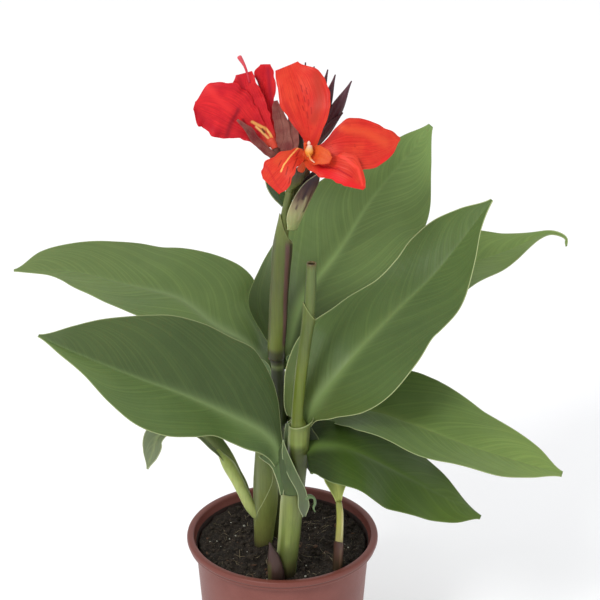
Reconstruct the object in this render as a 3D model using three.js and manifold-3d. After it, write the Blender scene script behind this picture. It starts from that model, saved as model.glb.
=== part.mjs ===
// Canna lily in a plastic grower pot. Millimetres, +Z up.
// The origin is the centre of the pot's bottom, on the surface it stands on.
// -Y is the front of the plant, where the two blooms face.

import * as THREE from "three";
import { mergeVertices } from "three/addons/utils/BufferGeometryUtils.js";
import Module from "manifold-3d";

const wasm = await Module();
wasm.setup();

// ---- Driving dimensions ----

const clearance = 0.3; // between neighbouring pieces
const bladeThickness = 1.2;
const petalThickness = 0.9;
const keelDepth = 1.6; // the midrib stands out this far below a leaf's base
const narrowest = 0.8; // half-width at the point of a blade
const hugFade = 2.2; // a wrap has opened flat at this many times its share of the rib
const marginShift = 0.37; // the right margin waves this much of a wave ahead of the left
const footBulge = 0.2; // ends of a stalk beyond its line
const tipBulge = 0.6;

const pot = {
  height: 150,
  rimRadius: 85,
  mouthRadius: 78.5,
  neckRadius: 77, // outside of the wall, just below the rim
  footRadius: 67,
  wall: 1.8,
  floor: 3,
  beadHeight: 5,
  skirtHeight: 9,
  drainRadius: 5,
  drainCircle: 42,
  drainCount: 6,
  sides: 48,
};

const soil = {
  top: 138,
  lump: 2.2, // height of the crumbs
  rings: 11,
  sides: 44,
};

// Stems are oval stalks along a smooth line: points, with the radius at each.
const stems = {
  stem_front: {
    line: [
      [2.4, -52, 120], [3.6, -53, 146], [6.4, -56, 180], [9.3, -60, 222], [13.9, -61, 266],
      [14.8, -61, 284], [13.6, -61, 295], [15.2, -61, 322], [18.8, -61, 358], [22, -61, 384],
    ],
    radii: [8.4, 9, 9.5, 9.8, 8.8, 8.2, 5.4, 5, 5.1, 4.5],
    color: 0x7f9442,
  },
  stem_flowering: {
    line: [
      [-7, 12, 112], [-6.4, 10, 160], [-3.8, 6, 220], [-2.8, 1, 270], [-3.4, 0, 314],
      [-3.8, 0, 324], [-3.8, -1, 334], [-1.4, -3, 380], [0.9, -5, 428], [3.8, -6, 456], [7, -8, 476],
    ],
    radii: [7.4, 7.4, 7.8, 7.2, 5.8, 7, 5.4, 5.3, 4.8, 3.8, 3.4],
    color: 0x7c8f45,
  },
  stem_left: {
    line: [
      [-17, -5, 118], [-16.6, -6, 146], [-14.4, -10, 186], [-14, -12, 220], [-15, -9, 256], [-13, -3, 298],
    ],
    radii: [7.8, 8.4, 10.6, 10.4, 6, 1],
    color: 0x7a8b48,
  },
  shoot_right: {
    line: [[48, -46, 124], [48.4, -47, 153], [49.8, -48, 191], [48.8, -47, 207]],
    radii: [4.1, 3.9, 3.2, 2.6],
    color: 0xa9ab4c,
  },
  basal_bud: {
    line: [[-7, -63, 126], [-8, -64.6, 148], [-8.6, -66, 164], [-10.2, -66.4, 178.6]],
    radii: [5.4, 5.8, 4.4, 0.8],
    color: 0x6d4540,
  },
  rolled_leaf: {
    line: [[22.1, -61, 385.2], [23.4, -61, 396], [24.2, -61, 414], [24.8, -61, 436]],
    radii: [4.4, 4.8, 4.7, 3.8],
    color: 0x5f7b52,
  },
};

// Leaves. rib: the midrib from its base to its tip. faces: the way the upper face looks, at
// equal steps along the rib. left and right: half-widths at equal steps, left being on the left
// when looking along the rib with the upper face up. fold: rise of the two halves in degrees.
// wave: height, number and phase of the waves in the margin. hug: the base wraps round a stem of
// this radius, over this share of the rib.
const leaves = {
  leaf_front_left: {
    rib: [
      [1.4, -69, 260], [-4, -71, 273], [-15, -76, 289], [-40, -85, 309], [-76, -95, 333],
      [-117, -100, 353], [-167, -100, 376], [-193, -95, 387],
    ],
    faces: [[0.3, -0.8, 0.5], [0.3, -0.6, 0.7], [0.2, -0.45, 0.87], [0.1, -0.4, 0.9], [0.1, -0.3, 0.9]],
    left: [22, 18, 20, 24, 32, 50, 64, 64, 49, 26, 12, 1],
    right: [4, 14, 44, 60, 63, 65, 62, 57, 49, 37, 20, 2],
    fold: [0, 10, 20, 20, 26],
    wave: [2, 3, 0.1],
    lobes: [
      {
        rib: [[2.4, -70, 280], [-0.6, -71.4, 267], [1, -72.2, 253], [4.7, -72.2, 239], [7.2, -71.6, 228]],
        faces: [[0.5, 0.9, 0], [0.4, 0.9, 0]],
        left: [1, 2.6, 4.4, 6.5, 6],
        right: [1, 2.6, 4.4, 6.5, 6],
        fold: [0, 0],
        hug: [13, 0.9],
      },
      {
        rib: [[4, -70.6, 280], [6, -73.6, 262], [11, -74.6, 246], [17, -73.4, 228], [20.7, -71.6, 211]],
        faces: [[0.2, 0.9, 0], [0.1, 0.9, 0], [-0.4, 0.9, 0]],
        left: [1, 3.4, 4.4, 5, 4],
        right: [1, 3.4, 4.4, 5, 4],
        fold: [10, -10],
      },
    ],
    color: 0x5f8140,
  },
  leaf_back_left: {
    rib: [
      [-9.2, 3, 296], [-13, 7, 310], [-28, 17, 325], [-58, 30, 338], [-90, 50, 354],
      [-137, 65, 361], [-185, 70, 371], [-233, 60, 376],
    ],
    faces: [[0.9, -0.1, 0.2], [0.3, -0.4, 0.8], [0.1, -0.18, 0.97], [0, -0.2, 0.97]],
    left: [7, 11, 22, 38, 48, 46, 49, 46, 36, 29, 13, 1],
    right: [7, 20, 40, 59, 62, 53, 52, 55, 45, 33, 22, 2],
    fold: [0, 12, 11, 16],
    wave: [2, 3, 0.5],
    hug: [7, 0.05],
    color: 0x5b7c40,
  },
  leaf_front_right: {
    rib: [
      [19.6, -57, 288], [22, -56, 297], [30, -55, 310], [59, -45, 344], [97, -15, 373], [130, 5, 399],
      [176, 20, 458],
    ],
    faces: [[-0.5, -0.86, 0.2], [-0.6, -0.65, 0.5], [-0.5, -0.6, 0.6], [-0.4, -0.6, 0.6]],
    left: [18, 37, 47, 48, 45, 43, 34, 33, 37, 33, 19, 2],
    right: [6, 22, 43, 57, 60, 57, 56, 49, 38, 26, 9, 1],
    fold: [0, 10, 12, 10],
    wave: [2.5, 3, 0.3],
    color: 0x5f8240,
  },
  leaf_right_long: {
    rib: [
      [6.9, -1, 256], [11.5, -4, 267], [27, -12, 275], [76, -30, 286], [112, -50, 283], [151, -70, 276],
      [173, -80, 273], [231, -95, 261],
    ],
    faces: [[-0.9, 0, 0.2], [-0.2, -0.1, 0.95], [0, -0.1, 1], [0, -0.1, 1]],
    left: [9, 11, 20, 36, 52, 52, 49, 46, 41, 32, 21, 4],
    right: [9, 8, 13, 28, 44, 44, 46, 45, 42, 35, 19, 4],
    fold: [0, 14, 11, 10],
    wave: [2, 3, 0.7],
    hug: [7, 0.05],
    color: 0x587a3c,
  },
  leaf_tall_back: {
    rib: [
      [3, 5, 308], [7, 13, 330], [18.2, 30, 362], [51, 60, 398], [78, 85, 433], [129, 90, 498],
    ],
    faces: [[-0.6, -0.6, 0.2], [-0.5, -0.8, 0.4], [-0.45, -0.75, 0.5], [-0.45, -0.75, 0.45]],
    left: [7, 29, 51, 50, 51, 59, 60, 47, 32, 24, 15, 4],
    right: [7, 23, 40, 48, 55, 60, 64, 64, 63, 54, 28, 1],
    fold: [0, 8, 12, 12],
    wave: [2, 3, 0.2],
    hug: [7, 0.04],
    color: 0x557a3a,
  },
  leaf_low_right: {
    rib: [
      [20.5, -61, 266], [29, -61, 269], [43, -60, 268.5], [61, -60, 264], [98, -60, 244], [131, -65, 227],
      [168, -75, 210],
    ],
    faces: [[-0.1, -0.35, 0.9], [0.1, -0.25, 0.95], [0.2, -0.25, 0.95], [0.2, -0.25, 0.95]],
    left: [18, 22, 26, 34, 43, 44, 41, 36, 27, 16, 8, 1],
    right: [26, 38, 42, 47, 51, 48, 44, 41, 35, 27, 19, 4],
    fold: [0, 4, -3, -5],
    wave: [2, 3, 0.9],
    color: 0x4b6c33,
  },
  leaf_back_right: {
    rib: [
      [3.8, 5.8, 289], [12, 12, 305], [40, 35, 325], [100, 72, 350], [150, 95, 362], [200, 112, 373],
      [240, 125, 385], [254, 125, 380], [255, 125, 372],
    ],
    faces: [[-0.8, -0.4, 0.2], [-0.2, -0.3, 0.9], [0, -0.2, 1], [0, -0.2, 1]],
    left: [7, 10, 19, 33, 41, 45, 46, 43, 34, 20, 4, 1],
    right: [7, 10, 19, 33, 42, 48, 50, 42, 28, 16, 7, 1],
    fold: [0, 12, 11, 10],
    wave: [3, 4, 0.4],
    hug: [7, 0.04],
    color: 0x5c8042,
  },
  leaf_small_left: {
    rib: [
      [-26, -8, 172], [-36, -7, 197], [-47, -2, 219], [-58, 5, 231], [-74, 12, 242], [-96, 18, 243],
      [-109, 17, 236], [-114, 15, 222], [-119, 13, 206],
    ],
    faces: [[0.8, -0.3, 0.5], [0.5, -0.3, 0.8], [0.1, -0.4, 0.9], [-0.3, -0.7, 0.5]],
    left: [5, 7, 8, 7, 9, 12, 7, 3, 5, 9, 7, 1],
    right: [5, 7, 8, 7, 9, 12, 14, 16, 15, 12, 9, 1],
    fold: [20, 24, 16, 10],
    wave: [1, 2, 0.4],
    color: 0x6b8442,
  },
  young_leaf_right: {
    rib: [[48.8, -47, 208], [47, -45, 222], [46, -42, 238], [48, -38, 254]],
    faces: [[0.2, -0.9, 0.2], [0.2, -0.9, 0.2]],
    left: [2.4, 7, 12, 9, 1],
    right: [2.4, 7, 12, 9, 1],
    fold: [24, 18],
    wave: [0.5, 2, 0],
    color: 0x93a345,
  },
};

const sheathColumns = [-1, -0.83, -0.67, -0.5, -0.33, -0.17, 0, 0.17, 0.33, 0.5, 0.67, 0.83, 1];

// Bracts wrap the flowering stem. They are blades like the leaves.
const bracts = {
  peduncle_bract: {
    rib: [[-10.1, 1.6, 337], [-7.8, -0.4, 380], [-5.6, -2.4, 426], [-1.6, -5, 457]],
    faces: [[0.92, -0.38, 0], [0.92, -0.38, 0]],
    left: [20, 20, 20, 20, 18, 1],
    right: [21.4, 21.4, 21.4, 21, 18, 1],
    fold: [0, 0],
    wave: [0, 1, 0],
    hug: [6.9, 0.9],
    columns: sheathColumns,
    color: 0x8a8a4c,
  },
  clasping_bract: {
    rib: [[6.8, -9.4, 439], [15, -14, 455], [21, -16.5, 473], [27, -15, 494]],
    faces: [[-0.5, 0.8, 0.2], [-0.5, 0.8, 0.2]],
    left: [4, 9, 11, 10, 1],
    right: [4, 9, 11, 10, 1],
    fold: [0, 0],
    wave: [0, 1, 0],
    hug: [9, 0.5],
    color: 0x9a9c6c,
  },
  green_bract: {
    rib: [[2, -3, 462], [-4, 1, 472], [-10, 3, 481], [-14, 2, 490]],
    faces: [[0.7, -0.5, 0.5], [0.7, -0.6, 0.3]],
    left: [3, 8, 9, 6, 1],
    right: [3, 8, 9, 6, 1],
    fold: [10, 20],
    wave: [0, 1, 0],
    color: 0x4f7a3a,
  },
};

// The closed buds: foot, belly, tip, and the belly's radius.
const buds = [
  [[22, -6, 508], [37, -4, 528], [50, -4, 543], 4],
  [[23, -3, 508], [44, 2, 542], [57, 4, 567], 5.4],
  [[23, -2, 508], [36, 5, 545], [44, 8, 571], 4.6],
  [[22, -1, 508], [31, 8, 545], [38, 12, 574], 4.4],
  [[22, 0, 508], [24, 9, 545], [27, 14, 576], 4.2],
  [[21, 0, 508], [19, 8, 545], [20, 12, 580], 4],
];

// Blooms: each colour of a bloom is one node, its blades and stalks grown together.
const blooms = {
  flower_axis: {
    stalks: [
      {
        line: [[7.1, -8, 477.2], [9, -8.5, 484], [13, -9, 492], [18, -8, 500]],
        radii: [3.2, 3.6, 3.6, 2.4],
      },
      { line: [[10, -10, 482], [13, -14, 490], [16, -19, 499]], radii: [3, 5, 4] },
      { line: [[8, -7, 482], [4, -6, 490], [1, -5, 498]], radii: [2.5, 4.4, 3.5] },
    ],
    color: 0x5d6238,
  },
  front_bloom_petals: {
    stalks: [{ line: [[16.3, -19.8, 500.2], [18.5, -24, 508], [21, -30, 517]], radii: [3.2, 3, 4.4] }],
    blades: [
      { // top
        rib: [[21, -29, 517], [23, -29, 530], [21, -25, 546], [18, -20, 560], [14, -15, 572], [8, -9, 585]],
        faces: [[0, -0.95, 0.3], [0, -0.92, 0.4]],
        left: [3, 3, 5, 8, 11, 14, 17, 19, 19, 18, 17, 15, 13],
        right: [4, 6, 8, 11, 15, 18, 21, 22, 22, 21, 19, 12, 6],
        fold: [16, 8],
      },
      { // right
        rib: [[22, -31, 518], [42, -33, 527], [70, -30, 528], [96, -22, 527]],
        faces: [[0, -0.9, 0.4], [0.1, -0.9, 0.4]],
        left: [3, 3, 3, 6, 12, 18, 19, 18, 16, 13, 10, 7, 2],
        right: [4, 11, 17, 21, 22, 24, 24, 23, 22, 19, 15, 10, 1],
        fold: [14, 6],
      },
      { // lower right
        rib: [[21, -31, 515], [40, -46, 512.5], [55.5, -55, 509], [66, -58, 498]],
        faces: [[0, -0.8, 0.6], [0.3, -0.9, 0.3]],
        left: [2, 2, 4, 6, 8, 11, 14, 15, 16, 12, 9, 6, 2],
        right: [5, 8, 10, 10, 11, 10, 10, 10, 10, 10, 8, 5, 1],
        fold: [10, -10],
      },
      { // lower left
        rib: [[20, -31, 516], [9, -42, 515], [-1, -48, 509], [-10, -53, 501]],
        faces: [[0, -0.8, 0.6], [-0.1, -0.9, 0.4]],
        left: [2, 2.5, 4, 5, 6, 7, 9, 10, 12, 13, 14, 14, 13],
        right: [6, 8, 9, 9, 10, 11, 11, 12, 13, 14, 12, 10, 5],
        fold: [12, 4],
      },
    ],
    color: 0xd8432a,
  },
  front_bloom_stamens: {
    stalks: [{ line: [[21.2, -35, 516], [21, -38, 523], [20, -40, 530]], radii: [2.2, 2.4, 1.6] }],
    blades: [
      {
        rib: [[21.6, -36, 518], [31, -47, 522], [40, -52, 520]],
        faces: [[0, -0.8, 0.6], [0.2, -0.9, 0.4]],
        left: [3, 6, 8, 8, 7, 6, 3],
        right: [3, 5, 7, 8, 7, 6, 3],
        fold: [10, 0],
      },
    ],
    color: 0xe28a2c,
  },
  back_bloom_tube: {
    stalks: [{ line: [[0.6, -5, 499], [-2, -4, 505], [-4, -3, 511]], radii: [3, 3, 3.4] }],
    blades: [
      {
        rib: [[-3, -6, 503], [-19.5, -9, 521.5], [-35, -10, 539]],
        faces: [[0.2, -0.9, 0.4], [0.2, -0.9, 0.4]],
        left: [3, 3, 3, 4, 4, 4, 4, 4, 3, 2, 1.4, 1, 1],
        right: [3, 3, 3, 3, 3, 3, 3, 3, 4, 4, 3, 2, 1],
        fold: [10, 10],
      },
      {
        rib: [[1, -4, 504], [2, -1, 526], [-4, 0, 552]],
        faces: [[0, -0.9, 0.3], [0, -0.9, 0.3]],
        left: [3, 3, 4, 5, 6, 6, 7, 7, 6, 6, 5, 4, 2],
        right: [7, 7, 8, 8, 7, 6, 6, 6, 5, 4, 3, 2, 1.4],
        fold: [10, 10],
      },
      {
        rib: [[2, -4, 504], [9, -2, 520], [7, 2, 538]],
        faces: [[0, -0.9, 0.3], [0, -0.9, 0.3]],
        left: [3, 6, 6, 4, 1],
        right: [3, 6, 6, 4, 1],
        fold: [10, 10],
      },
    ],
    color: 0x6e2c33,
  },
  back_bloom_petals: {
    stalks: [
      { line: [[-4.6, -1, 512], [-8, 1, 518]], radii: [3.2, 4] },
      { line: [[-25, 4.6, 566], [-28.5, 6.6, 578], [-33, 8, 586]], radii: [1, 1.1, 2] },
    ],
    blades: [
      { // middle
        rib: [[-6, 0, 514], [-15, 1, 530], [-24, 3, 550], [-30, 6, 573]],
        faces: [[0, -0.95, 0.3], [0, -0.95, 0.3]],
        left: [6, 7, 6, 7, 8, 10, 12, 13, 13, 13, 12, 11, 6],
        right: [3, 5, 7, 8, 9, 10, 11, 11, 11, 10, 9, 8, 7],
        fold: [10, 6],
      },
      { // left, curled
        rib: [[-8, 0, 516], [-30, -3, 530], [-52, -6, 546], [-69, -8, 552]],
        faces: [[0, -0.95, 0.3], [0, -0.95, 0.3]],
        left: [10, 9, 8, 7, 9, 13, 16, 18, 19, 19, 18, 14, 3],
        right: [5, 8, 11, 14, 18, 21, 24, 26, 26, 24, 23, 16, 2],
        fold: [10, -10],
      },
      { // right, upright
        rib: [[-6, 2, 516], [-12, 12, 545], [-13, 17, 577]],
        faces: [[0, -0.95, 0.2], [0, -0.95, 0.2]],
        left: [3, 3, 3, 3, 3, 3, 3, 3, 4, 6, 8, 8, 3],
        right: [4, 4, 4, 5, 6, 7, 7, 8, 9, 9, 8, 8, 5],
        fold: [6, 10],
      },
    ],
    color: 0xc41f31,
  },
  flower_buds: {
    stalks: [
      { line: [[18.3, -7.6, 500.9], [22, -4, 508], [25, -2, 514]], radii: [2.4, 3.4, 3] },
      ...buds.map(([foot, belly, tip, radius]) => ({ line: [foot, belly, tip], radii: [2, radius, 0.6] })),
    ],
    color: 0x4a2a33,
  },
};

// ---- Solids, joined and cut ----

function weld(geometry) {
  const bare = geometry.index ? geometry.toNonIndexed() : geometry.clone();
  for (const name of Object.keys(bare.attributes)) {
    if (name !== "position") bare.deleteAttribute(name);
  }
  return mergeVertices(bare, 1e-3);
}

function toSolid(geometry) {
  const welded = weld(geometry);
  return new wasm.Manifold(new wasm.Mesh({
    numProp: 3,
    vertProperties: new Float32Array(welded.attributes.position.array),
    triVerts: new Uint32Array(welded.index.array),
  }));
}

function toGeometry(solid) {
  const mesh = solid.getMesh();
  const geometry = new THREE.BufferGeometry();
  geometry.setAttribute("position", new THREE.BufferAttribute(mesh.vertProperties, 3));
  geometry.setIndex(new THREE.BufferAttribute(mesh.triVerts, 1));
  return geometry;
}

// The largest body of a cut solid; scraps are dropped.
function largestBody(solid) {
  const bodies = solid.decompose();
  return bodies.reduce((best, body) => (body.volume() > best.volume() ? body : best));
}

// ---- Surfaces ----

const vector = (point) => new THREE.Vector3(...point);

// Value at t (0..1) of a list given at equal steps, eased between them by a Catmull-Rom cubic.
function along(values, t) {
  const place = t * (values.length - 1);
  const i = Math.min(Math.floor(place), values.length - 2);
  const f = place - i;
  const before = values[Math.max(i - 1, 0)];
  const after = values[Math.min(i + 2, values.length - 1)];
  const slopeIn = (values[i + 1] - before) / 2;
  const slopeOut = (after - values[i]) / 2;
  const f2 = f * f;
  const f3 = f2 * f;
  return (2 * f3 - 3 * f2 + 1) * values[i] + (f3 - 2 * f2 + f) * slopeIn
    + (3 * f2 - 2 * f3) * values[i + 1] + (f3 - f2) * slopeOut;
}

function smoothStep(from, to, x) {
  const f = Math.min(Math.max((x - from) / (to - from), 0), 1);
  return f * f * (3 - 2 * f);
}

// Frame of a blade at t: the point on the rib, the way along it, its left side and its upper side.
function bladeFrame(blade, curve, t) {
  const origin = curve.getPointAt(t);
  const ahead = curve.getTangentAt(t);
  const faces = new THREE.Vector3();
  for (const axis of [0, 1, 2]) {
    faces.setComponent(axis, along(blade.faces.map((look) => look[axis]), t));
  }
  const left = faces.clone().cross(ahead).normalize();
  const up = ahead.clone().cross(left);
  return { origin, ahead, left, up };
}

// Point of a blade's middle surface at t along the rib and v across it (-1 right, 1 left):
// the two halves rise by the fold, the margins wave, and the base wraps round the stem.
function bladePoint(blade, curve, t, v) {
  const { origin, left, up } = bladeFrame(blade, curve, t);
  const halfWidth = Math.max(along(v < 0 ? blade.right : blade.left, t), narrowest);
  const distance = v * halfWidth;
  const fold = THREE.MathUtils.degToRad(along(blade.fold, t));
  const [height, count, phase] = blade.wave ?? [0, 1, 0];
  const side = v < 0 ? marginShift : 0;
  const swell = Math.sqrt(Math.sin(Math.PI * Math.min(t, 1)) + 1e-6);
  const wave = height * swell * v * v * Math.sin(2 * Math.PI * (count * t + phase + side));
  let sideways = distance * Math.cos(fold);
  let upwards = Math.abs(distance) * Math.sin(fold) + wave;
  if (blade.hug) {
    const [radius, share] = blade.hug;
    const hug = 1 - smoothStep(share, hugFade * share, t);
    const angle = distance / radius;
    sideways = THREE.MathUtils.lerp(sideways, radius * Math.sin(angle), hug);
    upwards = THREE.MathUtils.lerp(upwards, radius * (1 - Math.cos(angle)), hug);
  }
  return origin.addScaledVector(left, sideways).addScaledVector(up, upwards);
}

// A closed plate round a grid of points: both faces are split into triangles alike.
function plate(pointAt, rows, columns, thickness, keelAt) {
  const middle = [];
  for (let i = 0; i <= rows; i += 1) {
    middle.push(columns.map((v) => pointAt(i / rows, v)));
  }
  const last = columns.length - 1;
  const sides = [[], []];
  for (let i = 0; i <= rows; i += 1) {
    for (let j = 0; j <= last; j += 1) {
      const along1 = middle[Math.min(i + 1, rows)][j].clone().sub(middle[Math.max(i - 1, 0)][j]);
      const across = middle[i][Math.min(j + 1, last)].clone().sub(middle[i][Math.max(j - 1, 0)]);
      const normal = along1.cross(across).normalize();
      const keel = keelAt ? keelAt(i / rows, columns[j]) : 0;
      sides[0].push(middle[i][j].clone().addScaledVector(normal, thickness / 2));
      sides[1].push(middle[i][j].clone().addScaledVector(normal, -thickness / 2 - keel));
    }
  }
  const points = [...sides[0], ...sides[1]];
  const under = sides[0].length;
  const at = (i, j) => i * (last + 1) + j;
  const triangles = [];
  for (let i = 0; i < rows; i += 1) {
    for (let j = 0; j < last; j += 1) {
      const corners = [at(i, j), at(i + 1, j), at(i + 1, j + 1), at(i, j + 1)];
      const split = splitCell(columns[j], corners);
      for (const [a, b, c] of split) {
        triangles.push([a, b, c], [a + under, c + under, b + under]);
      }
    }
  }
  const rim = [];
  for (let i = 0; i < rows; i += 1) rim.push([at(i, 0), at(i + 1, 0)], [at(i + 1, last), at(i, last)]);
  for (let j = 0; j < last; j += 1) rim.push([at(0, j + 1), at(0, j)], [at(rows, j), at(rows, j + 1)]);
  for (const [a, b] of rim) {
    triangles.push([b, a, a + under], [b, a + under, b + under]);
  }
  return meshOf(points, triangles);
}

// The diagonal of each cell runs towards the tip on both halves of the blade.
function splitCell(v, [a, b, c, d]) {
  return v < 0 ? [[a, b, c], [a, c, d]] : [[a, b, d], [b, c, d]];
}

function meshOf(points, triangles) {
  const geometry = new THREE.BufferGeometry();
  geometry.setAttribute("position", new THREE.Float32BufferAttribute(points.flatMap((p) => [...p]), 3));
  geometry.setIndex(triangles.flat());
  return geometry;
}

const leafColumns = [-1, -0.64, -0.3, -0.08, 0, 0.08, 0.3, 0.64, 1];
const leafRowLength = 16;
const fewestRows = 8;
const lobeRows = 7;

// A leaf with its keel under the midrib, and the lobes at its base grown into it.
function leafSolid(leaf) {
  const curve = new THREE.CatmullRomCurve3(leaf.rib.map(vector), false, "centripetal");
  const keel = (t, v) => (v === 0 ? keelDepth * (1 - t) : 0);
  const rows = Math.max(fewestRows, Math.round(curve.getLength() / leafRowLength));
  const pointAt = (t, v) => bladePoint(leaf, curve, t, v);
  let body = toSolid(plate(pointAt, rows, leafColumns, bladeThickness, keel));
  for (const lobe of leaf.lobes ?? []) {
    body = body.add(toSolid(bladeGeometry(lobe, lobeRows, petalColumns, bladeThickness)));
  }
  return body;
}

const petalColumns = [-1, -0.7, -0.35, 0, 0.35, 0.7, 1];
const petalRows = 7;
const bloomStalk = { sides: 8, steps: 2 };
const stemStalk = { sides: 14, steps: 2 };

function bladeGeometry(blade, rows, columns, thickness) {
  const curve = new THREE.CatmullRomCurve3(blade.rib.map(vector), false, "centripetal");
  return plate((t, v) => bladePoint(blade, curve, t, v), rows, columns, thickness);
}

// The stalks and blades of one colour of a bloom, grown together, or widened all round by grow.
function bloomSolid({ stalks, blades = [] }, grow = 0) {
  const widen = (values) => values.map((value) => value + grow);
  const solids = stalks.map((stalk) => toSolid(stalkGeometry(stalk, bloomStalk, grow)));
  for (const blade of blades) {
    const wider = { ...blade, left: widen(blade.left), right: widen(blade.right) };
    const thickness = petalThickness + 2 * grow;
    solids.push(toSolid(bladeGeometry(wider, petalRows, petalColumns, thickness)));
  }
  return solids.reduce((body, solid) => body.add(solid));
}

// A stalk with round ends along a smooth line, its radius easing from point to point.
function stalkGeometry(stalk, facets, grow = 0) {
  const curve = new THREE.CatmullRomCurve3(stalk.line.map(vector), false, "centripetal");
  const { sides } = facets;
  const steps = (stalk.line.length - 1) * facets.steps;
  const points = [];
  for (let i = 0; i <= steps; i += 1) {
    const t = i / steps;
    const centre = curve.getPoint(t);
    const ahead = curve.getTangent(t);
    const side = new THREE.Vector3(1, 0, 0).addScaledVector(ahead, -ahead.x).normalize();
    const back = ahead.clone().cross(side);
    const radius = along(stalk.radii, t) + grow;
    for (let k = 0; k < sides; k += 1) {
      const angle = (2 * Math.PI * k) / sides;
      points.push(centre.clone()
        .addScaledVector(side, radius * Math.cos(angle))
        .addScaledVector(back, radius * Math.sin(angle)));
    }
  }
  const foot = points.length;
  points.push(curve.getPoint(0).addScaledVector(curve.getTangent(0), -grow - footBulge));
  points.push(curve.getPoint(1).addScaledVector(curve.getTangent(1), grow + tipBulge));
  const triangles = [];
  for (let k = 0; k < sides; k += 1) {
    const next = (k + 1) % sides;
    for (let i = 0; i < steps; i += 1) {
      const a = i * sides + k;
      const b = i * sides + next;
      triangles.push([a, b, b + sides], [a, b + sides, a + sides]);
    }
    triangles.push([foot, next, k], [foot + 1, steps * sides + k, steps * sides + next]);
  }
  return meshOf(points, triangles);
}

// ---- Pot and soil ----

// Outline of the wall from the middle of the floor's underside, up the outside, over the rolled
// rim and down the inside to the middle of the floor's upper face.
function potProfile() {
  const { height, rimRadius, mouthRadius, neckRadius, footRadius, wall, floor } = pot;
  const groove = height - pot.beadHeight - 0.6;
  const skirt = height - pot.skirtHeight;
  return [
    [0, 0], [footRadius - 2, 0], [footRadius, 2], [neckRadius, skirt - 1],
    [rimRadius - 2.6, skirt], [rimRadius - 1.4, skirt + 1], [rimRadius - 1.4, groove - 0.4],
    [rimRadius - 0.4, groove + 0.6], [rimRadius, height - 2.6], [rimRadius - 0.8, height - 0.8],
    [rimRadius - 2.4, height], [mouthRadius + 1, height], [mouthRadius, height - 1],
    [mouthRadius - 0.6, height - 4], [neckRadius - wall, skirt - 2], [footRadius - wall, floor], [0, floor],
  ].map(([r, z]) => new THREE.Vector2(r, z));
}

// A profile of (radius, height) turned about Z.
function turned(profile, sides) {
  const geometry = new THREE.LatheGeometry(profile, sides);
  geometry.rotateX(Math.PI / 2);
  return geometry;
}

function potGeometry() {
  let body = toSolid(turned(potProfile(), pot.sides));
  for (let k = 0; k < pot.drainCount; k += 1) {
    const angle = (2 * Math.PI * k) / pot.drainCount;
    const drain = new THREE.CylinderGeometry(pot.drainRadius, pot.drainRadius, 4 * pot.floor, 12);
    drain.rotateX(Math.PI / 2);
    drain.translate(pot.drainCircle * Math.cos(angle), pot.drainCircle * Math.sin(angle), pot.floor / 2);
    body = body.subtract(toSolid(drain));
  }
  return toGeometry(body);
}

// Crumbs of the peat: crossed waves of a few lengths, in millimetres above the soil's level.
function lump(x, y) {
  const coarse = Math.sin(x / 5.1 + 1.3 * Math.sin(y / 7.3)) * Math.sin(y / 4.7 + 0.9 * Math.sin(x / 6.1));
  const fine = Math.sin(x / 2.3 + y / 3.1) * Math.sin(y / 2.1 - x / 3.7);
  return soil.lump * (0.65 * coarse + 0.35 * fine);
}

function soilGeometry(stalks) {
  const { neckRadius, footRadius, wall, floor, skirtHeight, height } = pot;
  const slope = (neckRadius - footRadius) / (height - skirtHeight);
  const footInside = footRadius - wall - clearance;
  const edge = footInside + slope * (soil.top - floor) - 0.4;
  const profile = [[0, floor + clearance], [footInside - 0.6, floor + clearance], [edge, soil.top - 2]];
  for (let ring = soil.rings - 1; ring >= 0; ring -= 1) {
    profile.push([(edge - 1) * (ring / (soil.rings - 1)), soil.top]);
  }
  const geometry = weld(turned(profile.map(([r, z]) => new THREE.Vector2(r, z)), soil.sides));
  const position = geometry.attributes.position;
  for (let i = 0; i < position.count; i += 1) {
    const x = position.getX(i);
    const y = position.getY(i);
    if (position.getZ(i) > soil.top - 0.1) position.setZ(i, soil.top + lump(x, y));
  }
  let body = toSolid(geometry);
  for (const stalk of stalks) {
    body = body.subtract(toSolid(stalkGeometry(stalk, stemStalk, clearance)));
  }
  return toGeometry(largestBody(body));
}

// ---- Assembly ----

const plant = new THREE.Group();

function place(name, geometry, color, roughness = 0.5) {
  const material = new THREE.MeshStandardMaterial({ color, roughness, metalness: 0 });
  const mesh = new THREE.Mesh(geometry, material);
  mesh.name = name;
  plant.add(mesh);
}

// Stems widened by the clearance, which every leaf is cut by.
const stemCutters = Object.values(stems).map((stem) => toSolid(stalkGeometry(stem, stemStalk, clearance)));

function clearOfStems(solid) {
  let body = solid;
  for (const cutter of stemCutters) body = body.subtract(cutter);
  return toGeometry(largestBody(body));
}

place("pot", potGeometry(), 0x8f4f42, 0.42);
place("soil", soilGeometry(["stem_front", "stem_flowering", "stem_left", "shoot_right", "basal_bud"]
  .map((name) => stems[name])), 0x2a201b, 0.95);

for (const [name, stem] of Object.entries(stems)) {
  place(name, stalkGeometry(stem, stemStalk), stem.color);
}

for (const [name, leaf] of Object.entries(leaves)) {
  place(name, clearOfStems(leafSolid(leaf)), leaf.color);
}

for (const [name, bract] of Object.entries(bracts)) {
  const columns = bract.columns ?? petalColumns;
  const solid = toSolid(bladeGeometry(bract, petalRows, columns, bladeThickness));
  place(name, clearOfStems(solid), bract.color);
}

// Each part of the blooms is cut clear of those before it.
const bloomCutters = [...stemCutters];
for (const [name, bloom] of Object.entries(blooms)) {
  let body = bloomSolid(bloom);
  for (const cutter of bloomCutters) body = body.subtract(cutter);
  place(name, toGeometry(largestBody(body)), bloom.color);
  bloomCutters.push(bloomSolid(bloom, clearance));
}

export default plant;
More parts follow.
